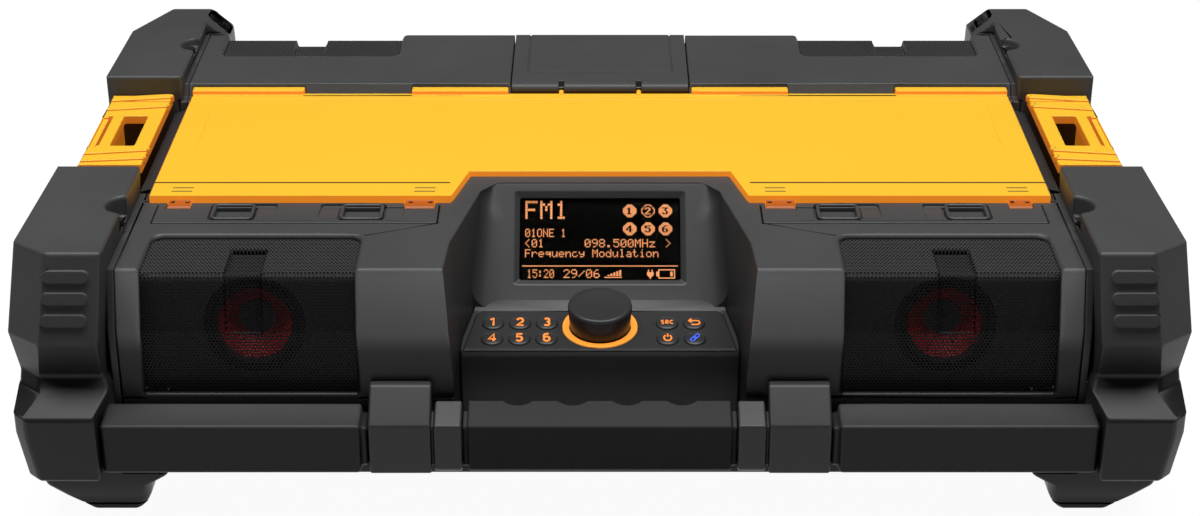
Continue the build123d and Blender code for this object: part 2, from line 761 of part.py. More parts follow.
def bumper_ribs(rear):
    """Raised grip ribs on the outer facet of a right-hand bumper."""
    way = 1 if rear else -1
    outer_y = abs(rear_bumper_y if rear else front_bumper_y)
    knee_y = abs(rear_knee_y if rear else front_knee_y)
    run = knee_y - outer_y
    drop = bumper_top_z - bumper_knee_z
    lean = hypot(run, drop)
    ribs = []
    for rib in range(rib_count):
        z = rib_first_z - rib * rib_pitch
        y = way * (outer_y + run * (bumper_top_z - z) / drop)
        facet = Plane(
            origin=(rib_x + rib * rib_slant, y, z),
            x_dir=(1, 0, 0),
            z_dir=(0, way * drop / lean, run / lean),
        )
        with BuildPart() as rib_part:
            with BuildSketch(facet.offset(-1.0)):
                SlotOverall(rib_length, rib_height)
            extrude(amount=rib_proud + 1.0)
        ribs.append(rib_part.part)
    return ribs


def rear_wedge():
    """Vented corner of the right rear bumper that reaches in behind the deck."""
    low_x, top_x = bumper_inner_x - wedge_reach, bumper_inner_x + bumper_wall
    low_z = bumper_top_z - wedge_drop
    view = [
        (top_x, bumper_top_z),
        (bumper_inner_x, bumper_top_z),
        (low_x, low_z),
        (low_x, bumper_knee_z),
        (top_x, bumper_knee_z),
    ]
    rear_face = [
        (rear_fold_y, bumper_knee_z),
        (rear_knee_y, bumper_knee_z),
        (rear_bumper_y, bumper_top_z),
        (rear_fold_y, bumper_top_z),
    ]
    with BuildPart() as wedge:
        with BuildSketch(Plane.XZ.offset(-far)):
            with BuildLine():
                Polyline(*view, close=True)
            make_face()
        extrude(amount=far)
        add(side_bar(rear_face, 0, far), mode=Mode.INTERSECT)
        for slot in range(wedge_slots):
            slot_x = low_x + wedge_land + slot * wedge_slot_pitch
            slot_y = (rear_y + fit + wedge_land, rear_bumper_y - bumper_wall)
            add(block((slot_x, slot_x + wedge_slot), slot_y, (low_z - wedge_drop, far)), mode=Mode.SUBTRACT)
    return wedge.part


body_keepout = side_bar(case_outline, -far, case_half_x + fit, -fit)
frame_keepout = side_bar(case_outline, 0, plate_outer_x + fit, -fit)
sill_keepout = block((0, far), (sill_span[0] - 1, sill_span[1] + 1), (0, bumper_knee_z))


def bumper(rear):
    """One right-hand corner bumper: a shell open towards the case."""
    levels = bumper_levels(rear)
    scoop_y = rear_scoop_y if rear else front_scoop_y
    scoop_z = rear_scoop_z if rear else front_scoop_z
    outside = level_hull(levels)
    cavity = level_hull(levels, bumper_wall)
    wedge = rear_wedge() if rear else None
    with BuildPart() as scoop_boss:
        with BuildSketch(Plane.XY.offset(scoop_z - bumper_wall)):
            with Locations((scoop_x, scoop_y)):
                Circle(scoop_radius + bumper_wall)
        extrude(amount=bumper_top_z - scoop_z)
    with BuildPart() as scoop:
        with BuildSketch(Plane.XY.offset(scoop_z)):
            with Locations((scoop_x, scoop_y)):
                Circle(scoop_radius)
        extrude(amount=far)
        with BuildSketch(Plane.XY.offset(scoop_z - far)):
            with Locations((screw_x, scoop_y)):
                Circle(screw_shank + fit)
        extrude(amount=far)
    with BuildPart() as shell:
        add(outside)
        add(cavity, mode=Mode.SUBTRACT)
        add(scoop_boss.part & outside)
        if wedge:
            add(wedge)
        add([scoop.part, body_keepout, frame_keepout, sill_keepout], mode=Mode.SUBTRACT)
        add(bumper_ribs(rear))
    return shell.part


for name, rear in (("front_right_bumper", False), ("rear_right_bumper", True)):
    right_hand = bumper(rear)
    save(right_hand, name)
    with BuildPart() as left_hand:
        add(right_hand)
        mirror(about=Plane.YZ, mode=Mode.REPLACE)
    save(left_hand.part, name.replace("right", "left"))

screws = []
for scoop_y, scoop_z in ((front_scoop_y, front_scoop_z), (rear_scoop_y, rear_scoop_z)):
    with BuildPart() as screw:
        with BuildSketch(Plane.XY.offset(scoop_z + 0.1)):
            with Locations((screw_x, scoop_y)):
                Circle(screw_head)
        extrude(amount=screw_head_thick)
        with BuildSketch(Plane.XY.offset(scoop_z - screw_length)):
            with Locations((screw_x, scoop_y)):
                Circle(screw_shank)
        extrude(amount=screw_length + 0.5)
    screws.append(both_sides(screw.part))
with BuildPart() as bumper_screws:
    add(screws)
save(bumper_screws.part, "bumper_screws")

# ---------------------------------------------------------------- feet
def foot_slab(levels):
    """A right front foot's slab; each level is (z, span across, span along)."""
    with BuildPart() as slab:
        for (z_low, *low), (z_high, *high) in zip(levels, levels[1:]):
            for z, (span_x, span_y) in ((z_low, low), (z_high, high)):
                with BuildSketch(Plane.XY.offset(z)):
                    with Locations((sum(span_x) / 2, -sum(span_y) / 2)):
                        RectangleRounded(span_x[1] - span_x[0], span_y[1] - span_y[0], foot_rounding)
            loft(ruled=True)
    return slab.part


def four_corners(part):
    """The part at the right front corner and its images at the other three."""
    with BuildPart() as corners:
        add(both_sides(part))
        mirror(about=Plane.XZ)
    return corners.part


foot_levels = (
    (pad_thick, foot_sole_x, foot_pad_y),
    (foot_hip_z, foot_hip_x, foot_pad_y),
    (foot_waist_z, foot_waist_x, foot_top_y),
    (foot_shelf_z, foot_shelf_x, foot_top_y),
    (bumper_foot_z - fit, foot_shelf_x, foot_top_y),
)
pad_levels = ((0, foot_pad_x, foot_pad_y), (pad_thick, foot_sole_x, foot_pad_y))
with BuildPart() as front_foot:
    add(foot_slab(foot_levels))
    add(frame_keepout, mode=Mode.SUBTRACT)
with BuildPart() as corner_feet:
    add(four_corners(front_foot.part))
save(corner_feet.part, "corner_feet")
with BuildPart() as foot_pads:
    add(four_corners(foot_slab(pad_levels)))
save(foot_pads.part, "foot_pads")

# ---------------------------------------------------------------- front bars and rear bar
def bar_section(back_y, top, way=-1):
    """Side outline of a bar: upright front face, then the given top points, front to back."""
    front = way * bar_y
    return [(back_y, bar_low_z), (front, bar_low_z), (front, bar_edge_z), *top]


def open_bar(section, x_from, x_to, way=-1):
    """A bar moulded as a shell, open towards the case and closed at its ends."""
    open_back = [(y - way * (bar_wall + 2) if y == section[0][0] else y, z) for y, z in section]
    core = side_bar(open_back, x_from + bar_wall, x_to - bar_wall, bar_wall)
    with BuildPart() as bar:
        add(side_bar(section, x_from, x_to))
        add(core, mode=Mode.SUBTRACT)
    return bar.part


case_front_gap_y = front_y - fit
case_rear_gap_y = rear_y + fit
bar_side_view = bar_section(case_front_gap_y, [(case_front_gap_y, bar_back_z)])
rear_bar_view = bar_section(case_rear_gap_y, [(case_rear_gap_y, bar_back_z)], 1)
bar_neck = side_bar(bar_side_view, bar_neck_x, bar_inner_x + bar_wall, neck_inset)
with BuildPart() as front_bar:
    add(open_bar(bar_side_view, bar_inner_x, bar_end_x))
    add(bar_neck)
with BuildPart() as lower_bars:
    add(both_sides(front_bar.part))
    add(open_bar(rear_bar_view, -bar_end_x, bar_end_x, 1))
save(lower_bars.part, "lower_bars")

# ---------------------------------------------------------------- fixed carry handle
bracket_top = [(bracket_crest_y, bracket_back_z), (case_front_gap_y, bracket_back_z)]
bracket_view = bar_section(case_front_gap_y, bracket_top)
grip_view = [
    (grip_back_y, bar_low_z + 2 * grip_edge),
    (grip_back_y - 2 * grip_edge, bar_low_z),
    (-bar_y + grip_edge, bar_low_z),
    (-bar_y, bar_low_z + grip_edge),
    (-bar_y, bar_edge_z),
    (grip_back_y, grip_top_z),
]
tenon_bore = rod((-far, far), tenon_y, tenon_z, tenon_radius + running_gap)
collar = side_bar(grip_view, collar_inner_x, collar_outer_x)
collar_neck = side_bar(grip_view, collar_outer_x - 1, bracket_inner_x + 1, neck_inset)
with BuildPart() as bracket:
    add(side_bar(bracket_view, bracket_inner_x, bracket_outer_x))
    add([collar_neck, collar])
    add(tenon_bore, mode=Mode.SUBTRACT)
with BuildPart() as handle_brackets:
    add(both_sides(bracket.part))
save(handle_brackets.part, "handle_brackets")

with BuildPart() as handle_core:
    add(rod((tenon_end - bracket_outer_x, bracket_outer_x - tenon_end), tenon_y, tenon_z, tenon_radius))
save(handle_core.part, "handle_core")

scallops = []
for scallop in range(scallop_count):
    scallop_x = (scallop - (scallop_count - 1) / 2) * scallop_pitch
    with BuildPart() as dip:
        with BuildSketch(Plane.XY.offset(grip_top_z - scallop_drop)):
            with Locations((scallop_x, grip_back_y + scallop_radius - scallop_depth)):
                Circle(scallop_radius)
        extrude(amount=far)
    scallops.append(dip.part)
with BuildPart() as handle_grip:
    add(side_bar(grip_view, -grip_half_x, grip_half_x))
    add(side_bar(grip_view, -collar_inner_x + fit, collar_inner_x - fit, neck_inset))
    add([tenon_bore, *scallops], mode=Mode.SUBTRACT)
save(handle_grip.part, "handle_grip")

# ---------------------------------------------------------------- storage lid
lid_body = plan_slab(lid_outline, lid_low_z, lid_top_z)
lid_underside = plan_slab(lid_outline, 0, lid_top_z - lid_skin, lid_skirt)
lid_additions = []
for x_from, x_to in lip_spans:
    lip = block((x_from, x_to), (lid_rear_y - lid_skirt, lip_rear_y), (deck_z, lip_top_z))
    lid_additions.append(both_sides(lip))
for x_from, x_to in tab_spans:
    barrel = rod((x_from, x_to), hinge_y, hinge_z, hinge_radius)
    arm = block((x_from, x_to), (hinge_y, lid_front_y + 1), (hinge_z, hinge_z + hinge_radius))
    lid_additions += [both_sides(barrel), both_sides(arm)]
latch_lug = rod(latch_lug_x, latch_pin_y, latch_pin_z, latch_lug_radius)
latch_arm = block(
    latch_lug_x,
    (lid_rear_y - lid_skirt, latch_pin_y),
    (latch_pin_z - latch_lug_radius, latch_pin_z),
)
lid_additions += [both_sides(latch_lug), both_sides(latch_arm)]
lid_bores = [
    rod((-far, far), hinge_y, hinge_z, hinge_pin_radius + running_gap),
    rod((-far, far), latch_pin_y, latch_pin_z, latch_pin_radius + running_gap),
]
grooves = [
    block((x_from, x_to), (y, y + groove_width), (lid_top_z - groove_depth, far))
    for y in (front_groove_y, rear_groove_y)
    for x_from, x_to in ((-lid_half_x - 1, -lid_notch_low_x - 2), (lid_notch_low_x + 2, lid_half_x + 1))
]
with BuildPart() as lid:
    add(lid_body)
    add(lid_underside, mode=Mode.SUBTRACT)
    add(lid_additions)
    add([*lid_bores, *grooves], mode=Mode.SUBTRACT)
save(lid.part, "lid")

gasket_low_z = rim_z + 0.1
with BuildPart() as lid_gasket:
    add(plan_slab(lid_outline, gasket_low_z, lid_top_z - lid_skin, lid_skirt + fit))
    add(plan_slab(lid_outline, 0, far, lid_skirt + fit + gasket_width), mode=Mode.SUBTRACT)
save(lid_gasket.part, "lid_gasket")

pin_rods = []
for x_from, x_to in tab_spans:
    pin_rods.append(both_sides(rod((x_from - pin_over, x_to + pin_over), hinge_y, hinge_z, hinge_pin_radius)))
with BuildPart() as lid_hinge_pins:
    add(pin_rods)
save(lid_hinge_pins.part, "lid_hinge_pins")

# ---------------------------------------------------------------- hinge strips
strip_body = plan_slab(strip_plan, deck_z - strip_thick + 0.05, deck_z)
tab_notches = [
    block((x_from - 0.4, x_to + 0.4), (hinge_y - 5.0, 0), (0, far)) for x_from, x_to in tab_spans
]
strip_bore = rod((-far, far), hinge_y, hinge_z, hinge_pin_radius + running_gap)
socket_holes = []
for socket_x in socket_columns:
    half_x = socket_size[0] / 2
    half_y = socket_size[1] / 2
    spans = ((socket_x - half_x, socket_x + half_x), (socket_y - half_y, socket_y + half_y))
    step_x = socket_x - half_x - socket_step[0] / 2
    socket_holes.append(block(*spans, (0, far)))
    socket_holes.append(
        block(
            (step_x - socket_step[0] / 2, step_x + socket_step[0] / 2 + 1),
            (socket_y - socket_step[1] / 2, socket_y + socket_step[1] / 2),
            (deck_z - socket_step[2], far),
        )
    )
with BuildPart() as hinge_strip:
    add(strip_body)
    add([strip_bore, *tab_notches, *socket_holes], mode=Mode.SUBTRACT)
with BuildPart() as hinge_strips:
    add(both_sides(hinge_strip.part))
save(hinge_strips.part, "hinge_strips")


def socket_cup(socket_x):
    """Open cup that lines one accessory socket, with cross ribs on its floor."""
    half_x = socket_size[0] / 2 - fit
    half_y = socket_size[1] / 2 - fit
    top_z = deck_z - socket_sink
    low_z = deck_z - socket_depth - 2.0
    cup_ribs = []
    for rib in range(socket_ribs):
        rib_y = socket_y + (rib - (socket_ribs - 1) / 2) * (2 * half_y - 4) / socket_ribs
        rib_y_span = (rib_y - socket_rib_half, rib_y + socket_rib_half)
        rib_z_span = (low_z, low_z + socket_rib_height)
        cup_ribs.append(block((socket_x - half_x, socket_x + half_x), rib_y_span, rib_z_span))
    outside_x = (socket_x - half_x, socket_x + half_x)
    outside_y = (socket_y - half_y, socket_y + half_y)
    inside_x = (outside_x[0] + socket_lining, outside_x[1] - socket_lining)
    inside_y = (outside_y[0] + socket_lining, outside_y[1] - socket_lining)
    with BuildPart() as cup:
        add(block(outside_x, outside_y, (low_z, top_z)))
        add(block(inside_x, inside_y, (low_z + socket_lining, far)), mode=Mode.SUBTRACT)
        add(cup_ribs)
    return cup.part


with BuildPart() as strip_sockets:
    add([both_sides(socket_cup(socket_x)) for socket_x in socket_columns])
save(strip_sockets.part, "strip_sockets")

# ---------------------------------------------------------------- lid latch
latch_view = [
    (latch_pin_y, latch_low_z),
    (rear_fold_y - latch_turn, latch_low_z),
    (latch_lip_y - latch_lip_thick, latch_lip_z),
    (latch_lip_y, latch_lip_z),
    (rear_fold_y, latch_top_z),
    (latch_pin_y, latch_top_z),
]
latch_knuckle = rod((-latch_half_x, latch_half_x), latch_pin_y, latch_pin_z, latch_knuckle_radius)
latch_slit = block(
    (latch_lug_x[0] - fit, latch_lug_x[1] + fit),
    (0, latch_pin_y + latch_knuckle_radius + fit),
    (0, far),
)
panel_y = (latch_panel_front_y, far)
panel_edge = block((-latch_panel_half_x, latch_panel_half_x), panel_y, (latch_top_z - groove_depth, far))
panel_face = side_bar(latch_view, groove_width - latch_panel_half_x, latch_panel_half_x - groove_width)
panel_face = panel_face & block((-far, far), (panel_y[0] + groove_width, far), (0, far))
with BuildPart() as lid_latch:
    add(side_bar(latch_view, -latch_half_x, latch_half_x))
    add(panel_edge, mode=Mode.SUBTRACT)
    add(panel_face)
    add(latch_knuckle)
    add([both_sides(latch_slit), lid_bores[1]], mode=Mode.SUBTRACT)
save(lid_latch.part, "lid_latch")
with BuildPart() as lid_latch_pin:
    add(rod((-latch_half_x + 3, latch_half_x - 3), latch_pin_y, latch_pin_z, latch_pin_radius))
save(lid_latch_pin.part, "lid_latch_pin")

# ---------------------------------------------------------------- side clips
clip_y_span = (clip_front_y, clip_rear_y)
clip_leg_x = (clip_outer_x - clip_leg, clip_outer_x)
clip_plate_z = (clip_top_z - clip_plate, clip_top_z)
clip_knuckle_spans = (
    (clip_front_y, clip_front_y + clip_knuckle),
    (clip_rear_y - clip_knuckle, clip_rear_y),
)
clip_window_spans = (
    (clip_window_x - clip_window[0] / 2, clip_window_x + clip_window[0] / 2),
    (clip_window_y - clip_window[1] / 2, clip_window_y + clip_window[1] / 2),
)
clip_slot_reach = (clip_slot_x - clip_slot_width / 2, clip_slot_x + clip_slot_width / 2)
clip_slot_spans = (clip_slot_reach, clip_window_spans[1])
clip_top_cuts = [block(*clip_window_spans, (0, far))]
clip_slot = block(*clip_slot_spans, (clip_top_z - clip_slot_depth, far))
clip_top_cuts.append(clip_slot)
for groove_y in clip_groove_ys:
    groove_span = (groove_y - groove_width / 2, groove_y + groove_width / 2)
    clip_top_cuts.append(block((0, far), groove_span, (clip_top_z - groove_depth, far)))
leg_gap = block(
    (0, far),
    (clip_front_y + clip_knuckle, clip_rear_y - clip_knuckle),
    (0, clip_pin_z + clip_knuckle_radius + 1.5),
)
with BuildPart() as right_side_latch:
    add(block((clip_inner_x, clip_outer_x), clip_y_span, clip_plate_z))
    add(clip_top_cuts, mode=Mode.SUBTRACT)
    add(block(clip_leg_x, clip_y_span, (clip_pin_z, clip_top_z)) - clip_slot)
    add(leg_gap, mode=Mode.SUBTRACT)
    for span in clip_knuckle_spans:
        add(rod_along_y(clip_pin_x, clip_pin_z, *span, clip_knuckle_radius))
    add(pin_bore, mode=Mode.SUBTRACT)
save(right_side_latch.part, "right_side_latch")
with BuildPart() as left_side_latch:
    add(right_side_latch.part)
    mirror(about=Plane.YZ, mode=Mode.REPLACE)
save(left_side_latch.part, "left_side_latch")
clip_pin = rod_along_y(clip_pin_x, clip_pin_z, clip_front_y + 2, clip_rear_y - 2, clip_pin_radius)
with BuildPart() as side_latch_pins:
    add(both_sides(clip_pin))
save(side_latch_pins.part, "side_latch_pins")

# ---------------------------------------------------------------- speaker grilles
def grille_mass(side, extra):
    """Everything under a grille's outer face, with the pressed channel, sunk by extra."""
    way_y = (lambda y: (-far, y)) if side < 0 else (lambda y: (y, far))
    top_y = channel_top_y if side < 0 else rear_channel_top_y
    inset = grille_inset + extra
    full = side_bar(case_outline, 0, far, inset)
    sunk = side_bar(case_outline, 0, far, inset + channel_depth)
    half = channel_half_x + extra
    channel = block((channel_x - half, channel_x + half), way_y(top_y), (channel_low_z - extra, far))
    with BuildPart() as mass:
        add(full)
        add(channel - sunk, mode=Mode.SUBTRACT)
    return mass.part


def grille(side):
    """Pressed sheet that closes one right-hand grille opening, lapping behind its edges."""
    y_edge = grille_edge_y + grille_lap if side < 0 else rear_grille_edge_y - grille_lap
    reach = block(
        (grille_inner_x - grille_lap, grille_outer_x + grille_lap),
        (-far, y_edge) if side < 0 else (y_edge, far),
        (seam_z + fit, far),
    )
    return (grille_mass(side, 0.0) - grille_mass(side, grille_sheet)) & reach


for name, side in (("front_right_grille", -1), ("rear_right_grille", 1)):
    right_hand = grille(side)
    with BuildPart() as right_grille:
        add(right_hand)
    save(right_grille.part, name)
    with BuildPart() as left_grille:
        add(right_hand)
        mirror(about=Plane.YZ, mode=Mode.REPLACE)
    save(left_grille.part, name.replace("right", "left"))

# ---------------------------------------------------------------- loudspeakers
def turned(plane, profile):
    """Solid of revolution about a plane's normal; profile is (radius, height) points."""
    with BuildPart() as turning:
        with BuildSketch(Plane(origin=plane.origin, x_dir=plane.x_dir, z_dir=-plane.y_dir)):
            with BuildLine():
                Polyline(*profile, close=True)
            make_face()
        revolve(axis=Axis(plane.origin, plane.z_dir))
    return turning.part


def speaker_frame(plane):
    basket = turned(
        plane,
        [
            (basket_top_radius, -flange_thick),
            (basket_low_radius, -basket_depth),
            (basket_hole, -basket_depth),
            (basket_hole, -basket_depth + basket_skin),
            (basket_low_radius - basket_skin, -basket_depth + basket_skin),
            (basket_top_radius - basket_skin, -flange_thick),
        ],
    )
    with BuildPart() as frame:
        with BuildSketch(plane.offset(-flange_thick)):
            RectangleRounded(flange_size, flange_size, 6.0)
            Circle(flange_hole, mode=Mode.SUBTRACT)
        extrude(amount=flange_thick)
        add(basket)
    return frame.part


def speaker_magnet(plane):
    with BuildPart() as magnet:
        with BuildSketch(plane.offset(-basket_depth - 0.05 - magnet_height)):
            Circle(magnet_radius)
        extrude(amount=magnet_height)
    return magnet.part


def speaker_surround(plane):
    inner = cone_radius + fit
    crest = (inner + surround_lip) / 2
    return turned(
        plane,
        [
            (surround_radius, 0.05),
            (surround_radius, 0.9),
            (surround_lip, 0.9),
            (crest, surround_rise),
            (inner, 0.9),
            (inner, 0.0),
            (crest, surround_rise - 1.2),
            (surround_lip - 0.2, 0.05),
        ],
    )


def speaker_cone(plane):
    return turned(
        plane,
        [
            (0.0, -cone_depth + cap_rise),
            (coil_radius * 0.62, -cone_depth + cap_rise * 0.72),
            (coil_radius + 1.6, -cone_depth + 1.9),
            (cone_radius, 0.9),
            (cone_radius, 0.0),
            (coil_radius + 0.6, -cone_depth),
            (coil_radius + 0.6, -cone_depth - coil_drop),
            (coil_radius - 0.4, -cone_depth - coil_drop),
            (coil_radius - 0.4, -cone_depth),
            (0.0, -cone_depth + cap_rise - cone_skin),
        ],
    )


with BuildPart() as speaker_frames:
    add([both_sides(speaker_frame(speaker_plane(side))) for side in (-1, 1)])
save(speaker_frames.part, "speaker_frames")
with BuildPart() as speaker_magnets:
    add([both_sides(speaker_magnet(speaker_plane(side))) for side in (-1, 1)])
save(speaker_magnets.part, "speaker_magnets")
with BuildPart() as speaker_surrounds:
    add([both_sides(speaker_surround(speaker_plane(side))) for side in (-1, 1)])
save(speaker_surrounds.part, "speaker_surrounds")
for name, side in (("front_right_cone", -1), ("rear_right_cone", 1)):
    right_hand = speaker_cone(speaker_plane(side))
    with BuildPart() as right_cone:
        add(right_hand)
    save(right_cone.part, name)
    with BuildPart() as left_cone:
        add(right_hand)
        mirror(about=Plane.YZ, mode=Mode.REPLACE)
    save(left_cone.part, name.replace("right", "left"))

# ---------------------------------------------------------------- control console
console_back = moved_line(console_line, console_thick)
console_head = (display_top_y + console_thick / sin(radians(display_slope)), mouth_z)
console_section = console_line + [*reversed(console_back[1:]), console_head]
console_blank = side_bar(console_section, -far, far) & mouth_block(-fit)
window_centre = (0, -(window_start + window_end) / 2)
window_size = (2 * window_half_x, window_end - window_start)
keypad_plan = [
    (-keypad_back_half_x, -keypad_rim),
    (keypad_back_half_x, -keypad_rim),
    (keypad_front_half_x, keypad_rim - keypad_length),
    (-keypad_front_half_x, keypad_rim - keypad_length),
]
key_spots = [(x, -row) for row in key_rows for x in key_columns]
knob_spot = (0, -knob_along)
keypad_axis = Axis(keypad_plane.origin, keypad_plane.z_dir)
# The knob's top is dished by a ball that meets the top face in this circle.
dish_ball = (knob_dish_radius**2 + knob_dish**2) / (2 * knob_dish)


def keypad_slab(z_from, z_to, grow=0.0):
    """A slab parallel to the keypad with the keypad's plan."""
    with BuildPart() as slab:
        with BuildSketch(keypad_plane.offset(z_from)) as plan:
            with BuildLine():
                Polyline(*keypad_plan, close=True)
            make_face()
            fillet(plan.vertices().sort_by(Axis.Y)[-2:], keypad_rounding)
            if grow:
                offset(amount=grow, kind=Kind.INTERSECTION)
        extrude(amount=z_to - z_from)
    return slab.part


with BuildPart() as window_cut:
    with BuildSketch(display_plane.offset(-far / 4)):
        with Locations(window_centre):
            Rectangle(*window_size)
    extrude(amount=far / 2)
    with BuildSketch(display_plane):
        with Locations(window_centre):
            Rectangle(window_size[0] + 2 * window_bevel, window_size[1] + 2 * window_bevel)
    with BuildSketch(display_plane.offset(-window_bevel_depth)):
        with Locations(window_centre):
            Rectangle(*window_size)
    loft(ruled=True)
    with BuildSketch(display_plane.offset(-far / 8)):
        with Locations(window_centre):
            Rectangle(*[side + 2 * (window_land + fit) for side in window_size])
    extrude(amount=far / 8 - window_bevel_depth - 0.2)
key_holes = []
for spot in key_spots:
    with BuildPart() as key_hole:
        with BuildSketch(keypad_plane.offset(-far / 8)):
            with Locations(spot):
                Circle(key_radius + key_hole_gap)
        extrude(amount=far / 4)
    key_holes.append(key_hole.part)
with BuildPart() as shaft_hole:
    with BuildSketch(keypad_plane.offset(-far / 8)):
        with Locations(knob_spot):
            Circle(rotor_radius)
    extrude(amount=far / 4)
with BuildPart() as ring_hole:
    with BuildSketch(keypad_plane.offset(-far / 8)):
        with Locations(knob_spot):
            Circle(ring_outer + ring_gap)
    extrude(amount=far / 4)

with BuildPart() as ring_seat:
    with BuildSketch(keypad_plane.offset(-keypad_thick)):
        with Locations(knob_spot):
            Circle(ring_outer + ring_gap)
    extrude(amount=far / 8)

with BuildPart() as control_console:
    add(console_blank)
    add([window_cut.part, ring_seat.part, keypad_slab(-keypad_thick, 1.0, fit)], mode=Mode.SUBTRACT)
    add([shaft_hole.part, *key_holes], mode=Mode.SUBTRACT)
save(control_console.part, "control_console")

with BuildPart() as keypad_plate:
    add(keypad_slab(-keypad_thick + 0.05, 0.0))
    add([ring_hole.part, *key_holes], mode=Mode.SUBTRACT)
save(keypad_plate.part, "keypad_plate")

with BuildPart() as display_window:
    with BuildSketch(display_plane.offset(-window_bevel_depth - fit - window_thick)):
        with Locations(window_centre):
            Rectangle(*[side + 2 * window_land for side in window_size])
    extrude(amount=window_thick)
save(display_window.part, "display_window")
with BuildPart() as display_module:
    with BuildSketch(display_plane.offset(-console_thick - 0.3 - lcd_thick)):
        with Locations(window_centre):
            Rectangle(*[side + 2 * lcd_border for side in window_size])
    extrude(amount=lcd_thick)
save(display_module.part, "display_module")

with BuildPart() as light_ring:
    with BuildSketch(keypad_plane.offset(-keypad_thick + 0.1)):
        with Locations(knob_spot):
            Circle(ring_outer)
            Circle(ring_inner, mode=Mode.SUBTRACT)
    extrude(amount=keypad_thick + ring_proud - 0.1)
save(light_ring.part, "light_ring")

key_names = []
for row_start in (1, 4):
    key_names += [f"preset_key_{row_start + column}" for column in range(3)]
    key_names += ["source_key", "return_key"] if row_start == 1 else ["power_key", "pairing_key"]
for name, spot in zip(key_names, key_spots):
    with BuildPart() as key:
        with BuildSketch(keypad_plane.offset(-key_depth)):
            with Locations(spot):
                Circle(key_radius + key_flange)
        extrude(amount=key_flange)
        with BuildSketch(keypad_plane.offset(-key_depth)):
            with Locations(spot):
                Circle(key_radius)
        extrude(amount=key_depth + key_proud)
        fillet(key.edges().group_by(keypad_axis)[-1], key_rounding)
    save(key.part, name)

with BuildPart() as main_board:
    with BuildSketch(keypad_plane.offset(-board_drop - board_thick)):
        with Locations((0, board_centre)):
            Rectangle(*board_size)
    extrude(amount=board_thick)
save(main_board.part, "main_board")
with BuildPart() as encoder_body:
    with BuildSketch(keypad_plane.offset(-board_drop)):
        with Locations(knob_spot):
            Rectangle(encoder_size, encoder_size)
            Circle(shaft_radius + running_gap, mode=Mode.SUBTRACT)
    extrude(amount=board_drop - console_thick - 0.1)
save(encoder_body.part, "encoder_body")
with BuildPart() as encoder_shaft:
    with BuildSketch(keypad_plane.offset(-board_drop + knob_travel + 0.4)):
        with Locations(knob_spot):
            Circle(shaft_radius)
    extrude(amount=board_drop - knob_travel - 0.4 + knob_lift + shaft_grip)
save(encoder_shaft.part, "encoder_shaft")
with BuildPart() as knob:
    for z, radius in ((knob_lift, knob_radius), (knob_lift + knob_height, knob_top_radius)):
        with BuildSketch(keypad_plane.offset(z)):
            with Locations(knob_spot):
                Circle(radius)
    loft()
    fillet(knob.edges().group_by(keypad_axis)[-1], knob_rounding)
    with Locations(keypad_plane.offset(knob_lift + knob_height - knob_dish + dish_ball).location):
        with Locations((*knob_spot, 0)):
            Sphere(dish_ball, mode=Mode.SUBTRACT)
    with BuildSketch(keypad_plane.offset(knob_lift)):
        with Locations(knob_spot):
            Circle(shaft_radius + running_gap)
    extrude(amount=shaft_grip + 0.3, mode=Mode.SUBTRACT)
    with BuildSketch(keypad_plane.offset(knob_lift)):
        with Locations(knob_spot):
            Circle(knob_radius - knob_skirt)
            Circle(knob_hub, mode=Mode.SUBTRACT)
    extrude(amount=knob_height - knob_roof, mode=Mode.SUBTRACT)
save(knob.part, "knob")

# ---------------------------------------------------------------- storage tray and power
tray_top_z = rim_low_z - 0.05
with BuildPart() as storage_tray:
    add(plan_slab(lid_outline, tray_floor_z, tray_top_z, tray_inset))
    add(plan_slab(lid_outline, tray_top_z - tray_flange_thick, tray_top_z, tray_flange_inset))
    add(plan_slab(lid_outline, tray_floor_z + tray_wall, far, tray_inset + tray_wall), mode=Mode.SUBTRACT)
save(storage_tray.part, "storage_tray")
dock_z = (tray_floor_z + tray_wall + 0.05, tray_floor_z + tray_wall + dock_height)
dock_slot_x = (dock_span_x[0] + dock_rail, dock_span_x[1] - dock_rail)
dock_slot_y = (dock_span_y[0] - 1, dock_span_y[1] - dock_rail)
dock_slot = block(dock_slot_x, dock_slot_y, (dock_z[0] + dock_rail / 2, far))
with BuildPart() as battery_dock:
    add(block(dock_span_x, dock_span_y, dock_z))
    add(dock_slot, mode=Mode.SUBTRACT)
save(battery_dock.part, "battery_dock")
ports_y = lid_rear_y - tray_inset - tray_wall
ports_x = (ports_end - case_half_x, ports_end - case_half_x + ports_size[0])
ports_z = (tray_top_z - ports_drop - ports_size[2], tray_top_z - ports_drop)
ports_row_z = sum(ports_z) / 2
port_holes = [
    block(
        (ports_x[0] + port_slot_x - port_slot[0] / 2, ports_x[0] + port_slot_x + port_slot[0] / 2),
        (ports_y - ports_size[1] - 1, ports_y - 1),
        (ports_row_z - port_slot[1] / 2, ports_row_z + port_slot[1] / 2),
    )
]
for port_x, radius in ((port_jack_x, port_jack_radius), (port_outlet_x, port_outlet_radius)):
    port_holes.append(
        rod_along_y(ports_x[0] + port_x, ports_row_z, ports_y - ports_size[1] - 1, ports_y - 1, radius)
    )
with BuildPart() as port_panel:
    add(block(ports_x, (ports_y - ports_size[1] - 0.05, ports_y - 0.05), ports_z))
    add(port_holes, mode=Mode.SUBTRACT)
save(port_panel.part, "port_panel")
supply_z = (case_floor_z + wall + 0.05, case_floor_z + wall + supply_height)
with BuildPart() as power_supply:
    add(block(supply_span_x, supply_span_y, supply_z))
save(power_supply.part, "power_supply")

